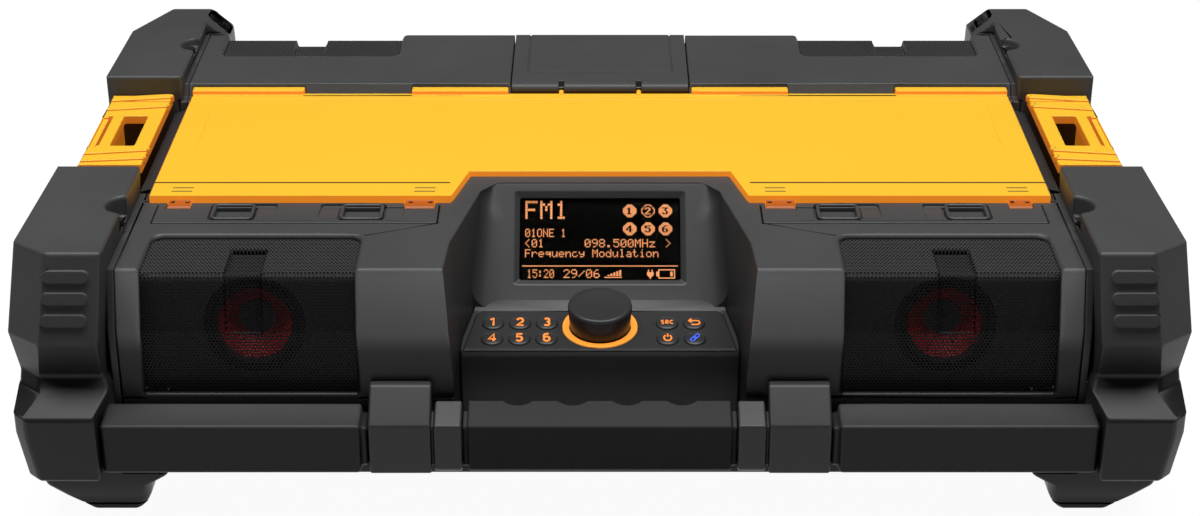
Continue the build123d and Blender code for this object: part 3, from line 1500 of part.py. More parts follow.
inlet_face_y = rear_y - inlet_recess[2]
with BuildPart() as mains_inlet:
    with BuildSketch(Plane.XZ.offset(-inlet_face_y - inlet_flange_thick)):
        with Locations((inlet_x, inlet_z)):
            RectangleRounded(*inlet_flange, 3.0)
    extrude(amount=inlet_flange_thick - 0.05)
    with BuildSketch(Plane.XZ.offset(-inlet_face_y - 0.1)):
        with Locations((inlet_x, inlet_z)):
            Rectangle(inlet_body[0], inlet_body[1])
    extrude(amount=inlet_body[2])
    with BuildSketch(Plane.XZ.offset(-inlet_face_y - inlet_flange_thick)):
        with Locations((inlet_x, inlet_z)):
            RectangleRounded(*socket_mouth, 3.0)
    extrude(amount=socket_reach, mode=Mode.SUBTRACT)
save(mains_inlet.part, "mains_inlet")
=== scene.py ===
# %% [markdown]
# # A jobsite radio
# The radio arrives as a set of CAD solids: case, bumpers, lid, console, grilles, keys and so on.
# This notebook gives each one the surface that the real moulding has, adds the detail that is too
# fine for the solids, and lights it on a pale floor.

# %% Load the solids
import bmesh
import bpy
import json
from contextlib import contextmanager
from math import cos, hypot, radians, sin, sqrt, tan
from mathutils import Matrix, Vector
from mathutils.bvhtree import BVHTree

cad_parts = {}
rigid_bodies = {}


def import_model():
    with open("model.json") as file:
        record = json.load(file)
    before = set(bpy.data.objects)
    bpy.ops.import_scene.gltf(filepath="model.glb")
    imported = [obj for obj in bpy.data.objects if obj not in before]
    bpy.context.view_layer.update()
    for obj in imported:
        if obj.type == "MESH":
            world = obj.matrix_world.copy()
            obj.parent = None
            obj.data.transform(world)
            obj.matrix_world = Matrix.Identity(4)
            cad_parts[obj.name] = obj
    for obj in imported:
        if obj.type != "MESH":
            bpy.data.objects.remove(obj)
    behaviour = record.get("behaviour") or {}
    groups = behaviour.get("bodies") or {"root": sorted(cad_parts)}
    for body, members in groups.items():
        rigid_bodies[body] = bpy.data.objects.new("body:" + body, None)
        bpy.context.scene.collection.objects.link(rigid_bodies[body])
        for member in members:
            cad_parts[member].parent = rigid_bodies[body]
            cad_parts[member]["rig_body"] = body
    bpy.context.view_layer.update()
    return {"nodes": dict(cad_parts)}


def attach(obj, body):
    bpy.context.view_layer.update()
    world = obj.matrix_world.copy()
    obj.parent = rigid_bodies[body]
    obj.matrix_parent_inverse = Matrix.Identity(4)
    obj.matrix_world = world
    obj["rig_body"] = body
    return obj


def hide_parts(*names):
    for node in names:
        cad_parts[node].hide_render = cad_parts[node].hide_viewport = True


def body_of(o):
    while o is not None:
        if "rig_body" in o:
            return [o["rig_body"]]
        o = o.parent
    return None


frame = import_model()

# %% [markdown]
# ## The camera
# The radio is seen from straight in front and from a little above eye level, with a long lens so
# that its sides converge only slightly. Location and tilt are set directly, with no tracking.

# %% Camera
mm = 0.001
camera_data = bpy.data.cameras.new("camera")
camera_data.sensor_width = 36.0
camera_data.lens = 69.0
camera = bpy.data.objects.new("camera", camera_data)
camera.location = (0.0, -1.33617, 0.71369)
camera.rotation_euler = (radians(64.5), 0.0, 0.0)
bpy.context.collection.objects.link(camera)
bpy.context.scene.camera = camera
print("lens", camera_data.lens, "mm")

# %% [markdown]
# ## Helpers for modelling
# Every operator in Blender acts on what is selected, so each step first selects one object alone.
# Faces and edges are picked in code by where they lie or where they face.


# %% Selecting, editing and making one object
def only(obj):
    """Select this object alone and make it the active one."""
    if bpy.context.object and bpy.context.object.mode != "OBJECT":
        bpy.ops.object.mode_set(mode="OBJECT")
    bpy.ops.object.select_all(action="DESELECT")
    obj.select_set(True)
    bpy.context.view_layer.objects.active = obj


@contextmanager
def editing(obj):
    """Work on the whole mesh of one object in edit mode, and leave that mode again."""
    only(obj)
    bpy.ops.object.mode_set(mode="EDIT")
    bpy.ops.mesh.select_all(action="SELECT")
    yield
    bpy.ops.object.mode_set(mode="OBJECT")


def settle(obj):
    """Apply the object's place, so that its place is in its mesh."""
    only(obj)
    bpy.ops.object.transform_apply(location=True, rotation=True, scale=True)


def apply_modifier(obj, kind, **settings):
    """Add a modifier with these settings and apply it at once."""
    only(obj)
    modifier = obj.modifiers.new(kind.lower(), kind)
    for setting, value in settings.items():
        setattr(modifier, setting, value)
    bpy.ops.object.modifier_apply(modifier=modifier.name)


def linked(name, data):
    """A new object in the scene that holds this mesh, curve or lamp."""
    obj = bpy.data.objects.new(name, data)
    bpy.context.collection.objects.link(obj)
    return obj


def mesh_piece(name, corners, faces, edges=()):
    """A new object with a mesh over these corners, in metres."""
    mesh = bpy.data.meshes.new(name)
    mesh.from_pydata(corners, edges, faces)
    return linked(name, mesh)


def paint(piece, *materials):
    """Give a piece these materials in place of any others."""
    piece.data.materials.clear()
    for material in materials:
        piece.data.materials.append(material)


# %% [markdown]
# ## Materials
# Almost all of the radio is moulded plastic with a fine spark-eroded grain. The grain is a small
# bump from noise; a second, broader noise varies the gloss a little, as handling does. Many
# mouldings also get painted shade: their colour is made darker towards the foot of the case, where
# less light gathers.


# %% Adding nodes to a material
def blank_material(name):
    """A new material, its node tree and its shader."""
    material = bpy.data.materials.new(name)
    material.use_nodes = True
    return material, material.node_tree, material.node_tree.nodes["Principled BSDF"]


def fill(tree, node, inputs):
    """Fill a node's inputs: another node's output is linked, and any other value is set."""
    for name, value in inputs.items():
        if isinstance(value, bpy.types.NodeSocket):
            tree.links.new(value, node.inputs[name])
        else:
            node.inputs[name].default_value = value


def add_node(tree, kind, inputs, operation=None):
    """A new node of this kind with its inputs filled."""
    node = tree.nodes.new("ShaderNode" + kind)
    if operation:
        node.operation = operation
    fill(tree, node, inputs)
    return node


def object_place(tree):
    """Where a point lies on the object."""
    return tree.nodes.new("ShaderNodeTexCoord").outputs["Object"]


# %% Plastic with a moulded grain
height_range = 200.0


def painted_shade_by_height(tree, place, colour, depth):
    """Painted shade: the colour times a share that changes with the height over the floor."""
    height = add_node(tree, "SeparateXYZ", {"Vector": place})
    level = add_node(tree, "Math", {0: height.outputs["Z"], 1: height_range * mm}, "DIVIDE")
    share = add_node(tree, "ValToRGB", {"Fac": level.outputs["Value"]})
    stops = share.color_ramp.elements
    while len(stops) < len(depth):
        stops.new(1.0)
    for stop, (z, part) in zip(stops, depth):
        stop.position = z / height_range
        stop.color = (part, part, part, 1.0)
    shaded_colour = add_node(tree, "VectorMath", {0: colour, 1: share.outputs["Color"]}, "MULTIPLY")
    return shaded_colour.outputs["Vector"]


def grained(name, colour, roughness, grain=0.12, shine=0.35, metallic=0.0, depth=None):
    """A moulded surface: fine bump, slight change of colour and gloss over the part.

    depth gives some heights, and the share of the colour that shows at each, as painted shade.
    """
    material, tree, shader = blank_material(name)
    place = object_place(tree)
    fine = add_node(tree, "TexNoise", {"Vector": place, "Scale": 2600.0, "Detail": 2.0})
    broad = add_node(tree, "TexNoise", {"Vector": place, "Scale": 14.0, "Detail": 4.0})
    bump = add_node(tree, "Bump", {
        "Height": fine.outputs["Fac"], "Strength": grain, "Distance": 0.0004,
    })
    gloss = add_node(tree, "MapRange", {
        "Value": broad.outputs["Fac"], "To Min": roughness - 0.04, "To Max": roughness + 0.04,
    })
    tint = add_node(tree, "ValToRGB", {"Fac": broad.outputs["Fac"]})
    low, high = tint.color_ramp.elements
    low.position, high.position = 0.3, 0.7
    low.color = (*[c * 0.92 for c in colour], 1.0)
    high.color = (*[min(1.0, c * 1.06) for c in colour], 1.0)
    shown = tint.outputs["Color"]
    if depth:
        shown = painted_shade_by_height(tree, place, shown, depth)
    fill(tree, shader, {
        "Metallic": metallic, "Specular IOR Level": shine, "Normal": bump.outputs["Normal"],
        "Roughness": gloss.outputs["Result"], "Base Color": shown,
    })
    return material


# Painted shade: the depth stops darken the case towards its foot, the fronts of the bars and the
# grip below their tops, and the mesh on its upright face below the fold.
charcoal = grained("charcoal_moulding", (0.062, 0.0625, 0.0635), 0.42, shine=0.3,
                   depth=((45, 0.12), (88, 0.2), (100, 0.5), (150, 1.0)))
# The nose colour is a lighter copy of the case colour for the deck's forward faces: painted light,
# with painted shade below the nose and along its top edge.
nose_painted_light = grained("nose_moulding", (0.19, 0.191, 0.194), 0.42, shine=0.28,
                        depth=((98, 0.04), (108, 0.15), (119, 0.95), (152, 1.0), (154.5, 0.33)))
charcoal_bar = grained("bar_moulding", (0.064, 0.0645, 0.066), 0.42, shine=0.2,
                       depth=((50, 0.3), (72, 0.4), (75.6, 1.0)))
charcoal_dark = grained("console_moulding", (0.038, 0.0385, 0.0395), 0.42)
keypad_black = grained("keypad_moulding", (0.030, 0.0305, 0.0315), 0.38, grain=0.08)
liner = grained("tray_moulding", (0.035, 0.036, 0.038), 0.55)
rubber = grained("soft_rubber", (0.022, 0.022, 0.023), 0.62, grain=0.25)
grip_rubber = grained("grip_rubber", (0.029, 0.0295, 0.030), 0.5, grain=0.2,
                      shine=0.12, depth=((50, 0.7), (72, 1.0)))
mesh_paint = grained("mesh_paint", (0.06, 0.06, 0.062), 0.4, grain=0.05, shine=0.15,
                     depth=((100, 0.1), (146, 0.16), (150, 1.0)))
basket_paint = grained("basket_paint", (0.012, 0.012, 0.012), 0.5)
ferrite = grained("ferrite", (0.05, 0.05, 0.052), 0.6)
pin_steel = grained("pin_steel", (0.05, 0.05, 0.052), 0.4, grain=0.04, metallic=1.0)
# Painted shade for the lid's grooves and pin holes.
seam_brown = grained("seam_brown", (0.10, 0.045, 0.006), 0.6, grain=0.05)
board_green = grained("board_green", (0.02, 0.13, 0.05), 0.4)
supply_metal = grained("supply_metal", (0.6, 0.6, 0.6), 0.35, metallic=1.0)
print("moulded materials:", len(bpy.data.materials))

# %% [markdown]
# Each loudspeaker cone is red with a dark cap. The four cones lie at mirrored places, so the
# absolute values of a point's coordinates give its distance from the axis of any of them.


# %% Red cone with a dark cap
def cone_paint(name, axis_x, axis_z, cap_radius):
    """Red, with a dark cap of this radius about the cone's axis, all in metres."""
    material = grained(name, (0.3, 0.012, 0.012), 0.5)
    tree = material.node_tree
    folded = add_node(tree, "VectorMath", {0: object_place(tree)}, "ABSOLUTE")
    flat = add_node(tree, "VectorMath", {0: folded.outputs[0], 1: (1.0, 0.0, 1.0)}, "MULTIPLY")
    far = add_node(tree, "VectorMath", {0: flat.outputs[0], 1: (axis_x, 0.0, axis_z)}, "DISTANCE")
    rim = add_node(tree, "MapRange", {
        "Value": far.outputs["Value"], "From Min": cap_radius, "From Max": cap_radius + 0.0008,
    })
    colour = tree.nodes.new("ShaderNodeMix")
    colour.data_type = "RGBA"
    fill(tree, colour, {
        "A": (0.012, 0.011, 0.011, 1.0), "B": (0.7, 0.02, 0.025, 1.0),
        "Factor": rim.outputs["Result"],
    })
    fill(tree, tree.nodes["Principled BSDF"], {"Base Color": colour.outputs["Result"]})
    return material


cone_red = cone_paint("cone_red", 0.1965, 0.116, 0.0102)
print(cone_red.name)

# %% [markdown]
# The yellow is a warm, saturated moulding. Its upright edges, its hinge tabs and its faces below
# the skin are painted orange as painted shade, and the upright edges also have a painted glow.

# %% Yellow moulding
yellow = grained("yellow_moulding", (0.90, 0.52, 0.030), 0.42, grain=0.08)
yellow_tint = yellow.node_tree.nodes["Color Ramp"].color_ramp.elements
yellow_tint[0].color = (0.893, 0.516, 0.030, 1.0)
yellow_tint[1].color = (0.905, 0.523, 0.030, 1.0)
tab_orange, lip_orange, clip_orange = (
    grained(name, (0.45, 0.10, 0.008), 0.42, grain=0.08)
    for name in ("tab_orange", "lip_orange", "clip_orange")
)
# Painted glow: the orange of the upright edges also gives a little light.
for material, strength in ((lip_orange, 1.0), (clip_orange, 0.5)):
    fill(material.node_tree, material.node_tree.nodes["Principled BSDF"], {
        "Emission Color": (0.62, 0.19, 0.012, 1.0), "Emission Strength": strength,
    })
print("yellow materials: 4")


# %% [markdown]
# Lit parts are small: the amber legends, the display's letters and the ring round the knob. Each is
# a flat colour that also gives a little light of its own.


# %% Lit legends and the display
def lit(name, colour, strength):
    """A flat colour that glows a little."""
    material, tree, shader = blank_material(name)
    noise = add_node(tree, "TexNoise", {"Vector": object_place(tree), "Scale": 300.0})
    shade = add_node(tree, "ValToRGB", {"Fac": noise.outputs["Fac"]})
    shade.color_ramp.elements[0].color = (*[c * 0.9 for c in colour], 1.0)
    shade.color_ramp.elements[1].color = (*colour, 1.0)
    fill(tree, shader, {
        "Base Color": shade.outputs["Color"], "Emission Color": shade.outputs["Color"],
        "Emission Strength": strength, "Roughness": 0.35,
    })
    return material


amber_lit = lit("amber_lit", (0.86, 0.22, 0.035), 0.75)
ring_lit = lit("ring_lit", (0.9, 0.30, 0.035), 0.75)
amber_pixel = lit("amber_pixel", (0.74, 0.28, 0.10), 0.66)
blue_lit = lit("blue_lit", (0.05, 0.12, 0.9), 0.7)
display_black = grained("display_black", (0.001, 0.001, 0.001), 0.6, grain=0.0, shine=0.02)
window_clear, window_tree, window_shader = blank_material("window_clear")
fill(window_tree, window_shader, {
    "Base Color": (1.0, 1.0, 1.0, 1.0), "Roughness": 0.03, "Specular IOR Level": 0.05,
    "Transmission Weight": 1.0, "IOR": 1.1,
})
print("lit materials made")

# %% [markdown]
# ## A finish for every solid
# Each CAD solid keeps its shape and is given one of the finishes above.

# %% Finish the solids
finish_groups = (
    (charcoal, "lower_tub top_deck left_side_frame right_side_frame corner_feet hinge_strips"),
    (charcoal, "front_left_bumper front_right_bumper rear_left_bumper rear_right_bumper lid_latch"),
    (charcoal_bar, "lower_bars"),
    (charcoal_dark, "handle_brackets strip_sockets control_console"),
    (yellow, "lid left_side_latch right_side_latch"),
    (rubber, "foot_pads lid_gasket speaker_surrounds"),
    (grip_rubber, "handle_grip"),
    (pin_steel, "handle_core lid_hinge_pins lid_latch_pin side_latch_pins encoder_shaft"),
    (basket_paint, "bumper_screws speaker_frames encoder_body"),
    (keypad_black, "keypad_plate knob mains_inlet port_panel"),
    (ferrite, "speaker_magnets"), (ring_lit, "light_ring"), (window_clear, "display_window"),
    (display_black, "display_module"), (board_green, "main_board"),
    (supply_metal, "power_supply"), (liner, "storage_tray battery_dock"),
)
finishes = {node: material for material, nodes in finish_groups for node in nodes.split()}


def finish_for(node):
    """The finish of a solid, by its name."""
    if node.endswith("_grille"):
        return mesh_paint
    if node.endswith("_cone"):
        return cone_red
    if "_key" in node:
        return keypad_black
    return finishes[node]


for node, solid in frame["nodes"].items():
    paint(solid, finish_for(node))
print("solids finished:", len(frame["nodes"]))

# %% [markdown]
# ## Rounded edges
# The solids have sharp edges, but a moulded case never does: every edge catches a thin line of
# light. So each main moulding is copied, its loose triangles are merged back into whole faces, and
# a Bevel modifier rounds every edge that turns by more than 30 degrees. A wide bevel would swallow
# a narrow face, such as the side of a grip rib, so each edge is first given a share of the full
# width: a little under half of the narrower face beside it. A large face with holes is rounded in
# triangles and merged again afterwards. The bumpers, feet and grip have none and stay whole, and
# the bars stay in triangles.


# %% A merged copy of a solid
def merged_copy(node, name):
    """A copy of a solid whose loose triangles are merged into whole flat faces."""
    copy = linked(name, frame["nodes"][node].data.copy())
    with editing(copy):
        bpy.ops.mesh.remove_doubles(threshold=0.001 * mm)
        bpy.ops.mesh.dissolve_limited(angle_limit=radians(0.3))
    return copy


# %% How far each edge may be rounded
plane_gap, cover_gap = 0.02 * mm, 0.01 * mm    # how far off a plane or a region still counts as on
sliver_area, least_area = 1e-9, 1e-6           # in square metres
area_slack = 0.004                             # by which share a refilled region may differ


def room_beside(edge):
    """A little under half the width of the narrower face beside an edge."""
    start = edge.verts[0].co
    way = (edge.verts[1].co - start).normalized()
    widths = []
    for face in edge.link_faces:
        reach = [corner.co - start for corner in face.verts]
        widths.append(max((r - way * r.dot(way)).length for r in reach))
    return 0.45 * min(widths)


def flat_region(seed, taken):
    """The faces joined to this one that lie in its plane."""
    region, waiting = {seed}, [seed]
    while waiting:
        for edge in waiting.pop().edges:
            for face in edge.link_faces:
                if face in region or face in taken:
                    continue
                level = abs(face.normal.dot(seed.normal)) > 0.999 or face.calc_area() < sliver_area
                spans = [(v.co - seed.verts[0].co).dot(seed.normal) for v in face.verts]
                if level and max(map(abs, spans)) < plane_gap:
                    region.add(face)
                    waiting.append(face)
    return region


def refill(shape):
    """Fill a flat region afresh from its outline where one of its thin faces is folded over."""
    taken = set()
    regions = []
    for face in sorted(shape.faces, key=lambda each: -each.calc_area()):
        if face not in taken and face.calc_area() > least_area:
            region = flat_region(face, taken)
            taken |= region
            if any(each.normal.dot(face.normal) < 0.0 for each in region):
                regions.append((region, face.normal.copy()))
    for region, facing in regions:
        true_area = sum(f.calc_area() * (1 if f.normal.dot(facing) > 0 else -1) for f in region)
        edges = {edge for face in region for edge in face.edges}
        outline = [e for e in edges if len([f for f in e.link_faces if f in region]) == 1]
        corners = [list(face.verts) for face in region]
        points = [vertex.co.copy() for verts in corners for vertex in verts]
        steps = iter(range(len(points)))
        cover = BVHTree.FromPolygons(points, [[next(steps) for _ in verts] for verts in corners])
        bmesh.ops.delete(shape, geom=list(region), context="FACES_ONLY")
        filled = bmesh.ops.triangle_fill(shape, use_beauty=True, edges=outline, normal=facing)
        faces = [part for part in filled["geom"] if isinstance(part, bmesh.types.BMFace)]
        middles = [(face, cover.find_nearest(face.calc_center_median())[3]) for face in faces]
        outside = [face for face, gap in middles if gap > cover_gap]
        bmesh.ops.delete(shape, geom=outside, context="FACES_ONLY")
        faces = [face for face, gap in middles if gap <= cover_gap]
        if abs(sum(face.calc_area() for face in faces) - true_area) > area_slack * true_area:
            bmesh.ops.delete(shape, geom=faces, context="FACES_ONLY")
            faces = [shape.faces.new(verts) for verts in corners]
        for face in faces:
            face.normal_update()
        turned = [face for face in faces if face.normal.dot(facing) < 0.0]
        bmesh.ops.reverse_faces(shape, faces=turned)
    loose = [edge for edge in shape.edges if not edge.link_faces]
    bmesh.ops.delete(shape, geom=loose, context="EDGES")
    rims = [edge for edge in shape.edges if len(edge.link_faces) == 1]
    bmesh.ops.holes_fill(shape, edges=rims, sides=0)


@contextmanager
def shape_of(piece):
    """The mesh of a piece to work on, written back afterwards."""
    shape = bmesh.new()
    shape.from_mesh(piece.data)
    yield shape
    shape.to_mesh(piece.data)
    shape.free()


def soften(piece, width, special=None, way="merge", usual=None):
    """Round the edges to this width, or to the usual one where that is narrower.

    special(x, y, z) may give an edge a width of its own, and way says how large faces are treated.
    """
    usual = usual or width
    with shape_of(piece) as shape:
        shares = shape.edges.layers.float.new("bevel_weight_edge")
        for edge in shape.edges:
            if len(edge.link_faces) != 2 or edge.calc_face_angle() < radians(30.0):
                continue
            middle = (edge.verts[0].co + edge.verts[1].co) / 2.0 / mm
            own = special(*middle) if special else None
            room = min(usual, room_beside(edge) / mm) if own is None else own
            edge[shares] = min(1.0, room / width)
        if way != "whole":
            large = [face for face in shape.faces if len(face.verts) > 4]
            bmesh.ops.triangulate(shape, faces=large, ngon_method="BEAUTY")
        solid = BVHTree.FromBMesh(shape)
    apply_modifier(
        piece, "BEVEL", width=width * mm, segments=3, limit_method="WEIGHT",
        use_clamp_overlap=False, miter_outer="MITER_ARC",
    )
    for vertex in piece.data.vertices:
        place, _, _, gap = solid.find_nearest(vertex.co)
        if gap > 0.5 * width * mm:
            vertex.co = place
    with shape_of(piece) as shape:
        refill(shape)
    if way == "merge":
        with editing(piece):
            bpy.ops.mesh.dissolve_limited(angle_limit=radians(0.1))


# %% Shading and standing in for the solid
def smooth(piece):
    """Shade the rounded edges smooth and let the large faces stay flat."""
    only(piece)
    bpy.ops.object.shade_smooth_by_angle(angle=radians(35.0))
    apply_modifier(piece, "WEIGHTED_NORMAL", keep_sharp=True, weight=100)
    apply_modifier(piece, "TRIANGULATE", min_vertices=5, keep_custom_normals=True)


def join(pieces, name):
    """Join some pieces into the first of them, under this name."""
    only(pieces[0])
    for piece in pieces[1:]:
        piece.select_set(True)
    bpy.ops.object.join()
    pieces[0].name = name
    return pieces[0]


def body_at(node):
    """The body that a solid moves with."""
    return body_of(frame["nodes"][node])[0]


def stand_for(piece, node):
    """Let this piece stand for its solid and move with the same body."""
    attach(piece, body_at(node))
    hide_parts(node)


def rounded(node, width, special=None, way="merge", usual=None):
    """A solid with its edges rounded to this width in millimetres."""
    piece = merged_copy(node, node + "_moulding")
    soften(piece, width, special=special, way=way, usual=usual)
    smooth(piece)
    paint(piece, finish_for(node))
    stand_for(piece, node)
    return piece


# %% Round the mouldings
edge_widths = {
    "lower_tub": 1.2, "left_side_frame": 0.9, "right_side_frame": 0.9,
    "front_left_bumper": 2.4, "front_right_bumper": 2.4, "rear_left_bumper": 2.2,
    "rear_right_bumper": 2.2, "corner_feet": 2.0, "lower_bars": 2.4, "handle_brackets": 1.4,
    "lid_latch": 0.8, "keypad_plate": 0.5, "handle_grip": 1.2,
    "knob": 0.3, "foot_pads": 0.5, "port_panel": 0.4, "mains_inlet": 0.4,
}
whole_faces = ("bumper", "corner_feet", "handle_grip")


def rib_edge(x, y, z):
    """The grip ribs of a bumper are eased less than its own edges."""
    return 0.6 if 279.0 < abs(x) < 311.0 and 128.0 < z < 166.0 else None


def nose_edge(x, y, z):
    """The console's nose below the keypad is well rounded."""
    return 1.9 if y < -155.8 and z > 87.0 else None


for node, width in edge_widths.items():
    way = "whole" if node.endswith(whole_faces) else "merge"
    if node == "lower_bars":
        way = "triangles"
    rounded(node, width, way=way, special=rib_edge if node.endswith("bumper") else None)
rounded("control_console", 1.9, special=nose_edge, usual=0.9)
print("rounded mouldings:", len(edge_widths) + 1)

# %% [markdown]
# ## The deck
# The deck is rounded like the rest, but the rims of its four grille openings are wide and soft, as
# a rim is that a hand may catch on. The rims are the edges that lie on the folded outer surface,
# within the span of the openings.

# %% The folded surface of the case
front_fold = [(-190.0, 78.9), (-190.0, 120.0), (-179.0, 155.0), (-130.4, 155.0)]
rear_fold = [(190.0, 78.9), (190.0, 120.0), (181.0, 163.0), (137.2, 163.0)]


def off_fold(y, z):
    """Distance of a place from the folded surfaces, in side view."""
    gaps = []
    for fold in (front_fold, rear_fold):
        for (y0, z0), (y1, z1) in zip(fold, fold[1:]):
            run = (y1 - y0) ** 2 + (z1 - z0) ** 2
            part = min(1.0, max(0.0, ((y - y0) * (y1 - y0) + (z - z0) * (z1 - z0)) / run))
            gaps.append(hypot(y - y0 - part * (y1 - y0), z - z0 - part * (z1 - z0)))
    return min(gaps)


def grille_rim(x, y, z):
    """Width of the rim where an edge belongs to a grille opening."""
    inside = 137.2 < abs(x) < 258.3 and z > 81.2 and (y < -133.0 or y > 139.7)
    if inside and off_fold(y, z) < 0.1:
        return 3.0
    if hypot(y + 179.0, z - 155.0) < 0.2:
        return 2.6
    if hypot(y - 181.0, z - 163.0) < 0.2:
        return 2.0
    return None


deck = rounded("top_deck", 3.0, special=grille_rim, usual=1.0)
# Painted light: the deck's faces that look forward get the lighter nose colour.
deck.data.materials.append(nose_painted_light)
for face in deck.data.polygons:
    if face.center.y < -176.0 * mm and face.normal.y < -0.3:
        face.material_index = 1
print("deck faces:", len(deck.data.polygons))


# %% [markdown]
# ## Hinge strips and their sockets
# Two accessory sockets stand in each hinge strip. Each has a cup with a raised, rounded rim, a
# narrow trench round it, and beside it, towards its neighbour, a shallow finger recess that runs
# out towards the front. The recesses and trenches are rounded blocks taken away from the strip.


# %% Rounded rectangles, blocks and rods
def rounded_rectangle(half_x, half_y, radius, steps=5):
    """Corners of a rounded rectangle round the origin, in millimetres."""
    points = []
    for corner, (sign_x, sign_y) in enumerate(((1, 1), (-1, 1), (-1, -1), (1, -1))):
        for step in range(steps + 1):
            turn = radians(90.0 * corner + 90.0 * step / steps)
            x = sign_x * (half_x - radius) + radius * cos(turn)
            points.append((x, sign_y * (half_y - radius) + radius * sin(turn)))
    return points


def slab(name, points, low, high):
    """An upright block over a plan, given anticlockwise, between two heights in millimetres."""
    count = len(points)
    corners = [(x * mm, y * mm, z * mm) for z in (low, high) for x, y in points]
    faces = [tuple(range(count - 1, -1, -1)), tuple(range(count, 2 * count))]
    for i in range(count):
        j = (i + 1) % count
        faces.append((i, j, count + j, count + i))
    return mesh_piece(name, corners, faces)


def placed(block, place, tilt=0.0):
    """Move a block to a place in millimetres, tilted about the line across the radio."""
    block.location = [v * mm for v in place]
    block.rotation_euler = (radians(tilt), 0.0, 0.0)
    settle(block)
    return block


def cut_away(piece, tool):
    """Take a tool's shape away from a piece, and delete the tool."""
    apply_modifier(piece, "BOOLEAN", operation="DIFFERENCE", object=tool, solver="EXACT")
    bpy.data.objects.remove(tool)


def rod(name, runs, radius, height=0.0, resolution=2, closed=False):
    """Round rods along these runs of (x, y) points, at one height, in millimetres."""
    line = bpy.data.curves.new(name, "CURVE")
    line.dimensions = "3D"
    line.bevel_depth = radius * mm
    line.bevel_resolution = resolution
    line.use_fill_caps = not closed
    for points in runs:
        run = line.splines.new("POLY")
        run.points.add(len(points) - 1)
        for corner, (x, y) in zip(run.points, points):
            corner.co = (x * mm, y * mm, height * mm, 1.0)
        run.use_cyclic_u = closed
    piece = linked(name, line)
    only(piece)
    bpy.ops.object.convert(target="MESH")
    return piece


def finish(piece, material, node=None, body=None):
    """Smooth a piece and paint it; it stands for a solid or just rides on a body."""
    smooth(piece)
    paint(piece, material)
    if node:
        stand_for(piece, node)
    else:
        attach(piece, body)
    return piece


def paint_yellow_and_shade(piece, skin_z, edge):
    """Yellow on the skin and underneath, and orange as painted shade on upright faces and below the
    skin.
    """
    paint(piece, yellow, edge, tab_orange)
    for face in piece.data.polygons:
        up, z = face.normal.z, face.center.z / mm
        on_skin = up > 0.6 and z > skin_z - 0.7
        face.material_index = 0 if on_skin or up < -0.5 else 2 if up > 0.6 else 1


# %% Strips, cups and rims
socket_y = -101.6
sockets = [(side * x, -1 if abs(x) > 200 else 1, side) for side in (-1, 1) for x in (216.2, 140.2)]
strip_front_y, strip_ends_x, strip_narrowing = -117.4, (95.2, 261.8), 0.5
strips = merged_copy("hinge_strips", "hinge_strips_moulding")
for vertex in strips.data.vertices:
    x, y, z = vertex.co / mm
    if y < strip_front_y:
        vertex.co.y += strip_narrowing * mm
    if abs(x) < strip_ends_x[0] or abs(x) > strip_ends_x[1]:
        vertex.co.x -= strip_narrowing * mm * (1 if x * (abs(x) - 180.0) > 0.0 else -1)
for x, toward, side in sockets:
    trench = slab("trench_cutter", rounded_rectangle(13.9, 11.8, 3.9), 0.0, 8.0)
    cut_away(strips, placed(trench, (x, socket_y, 152.6)))
    recess = slab("recess_cutter", rounded_rectangle(10.5, 10.6, 2.6), 0.0, 8.0)
    cut_away(strips, placed(recess, (x + toward * side * 14.6, -100.2, 153.9), tilt=-5.5))
soften(strips, 0.6)
finish(strips, charcoal, node="hinge_strips")


def cup_edge(x, y, z):
    """The four outer corners of a cup are well rounded; its other edges are only eased."""
    at_corner = abs(abs(abs(x) - 178.2) - 38.0) > 12.0 and abs(abs(y + 102.0) - 9.3) < 0.4
    return 2.6 if at_corner and z < 153.0 else 0.5


cups = merged_copy("strip_sockets", "strip_sockets_moulding")
soften(cups, 2.6, special=cup_edge)
finish(cups, charcoal, node="strip_sockets")
rims = []
for x, toward, side in sockets:
    rim = rod("socket_rim", [rounded_rectangle(11.6, 9.7, 3.0)], 1.1, resolution=3, closed=True)
    bed = slab("socket_bed", rounded_rectangle(10.6, 8.6, 2.2), 0.0, 1.0)
    rims += [placed(rim, (x, socket_y, 154.8)), placed(bed, (x, socket_y, 150.6))]
    for peg_x in (-6.0, 0.0, 6.0):
        peg = slab("socket_peg", rounded_rectangle(1.3, 1.8, 0.6, 3), 0.0, 2.6)
        soften(peg, 0.4)
        rims.append(placed(peg, (x + peg_x, socket_y - 4.8, 151.5)))
finish(join(rims, "socket_rims"), charcoal, body="case")
print("strips:", len(strips.data.polygons), "rims:", len(sockets))

# %% [markdown]
# ## The side clips
# Each clip has two raised ribs across either end, a little askew, with rounded inner ends that
# stand out past its edge. A shallow slot runs along its outer side.


# %% Clips
def clip_rib(side, front_outer, front_inner, width):
    """A rib across a clip, from its outer edge to a rounded end past its inner edge."""
    radius = width / 2.0
    points = [(318.6, front_outer), (318.6, front_outer + width)]
    middle_x, middle_y = 279.0 + radius, front_inner + radius
    for step in range(9):
        turn = radians(90.0 + 180.0 * step / 8.0)
        points.append((middle_x + radius * cos(turn), middle_y + radius * sin(turn)))
    points = [(side * x, y) for x, y in points]
    if side < 0:
        points.reverse()
    rib = slab("clip_rib", points, 157.0, 161.2)
    soften(rib, 0.9)
    return rib


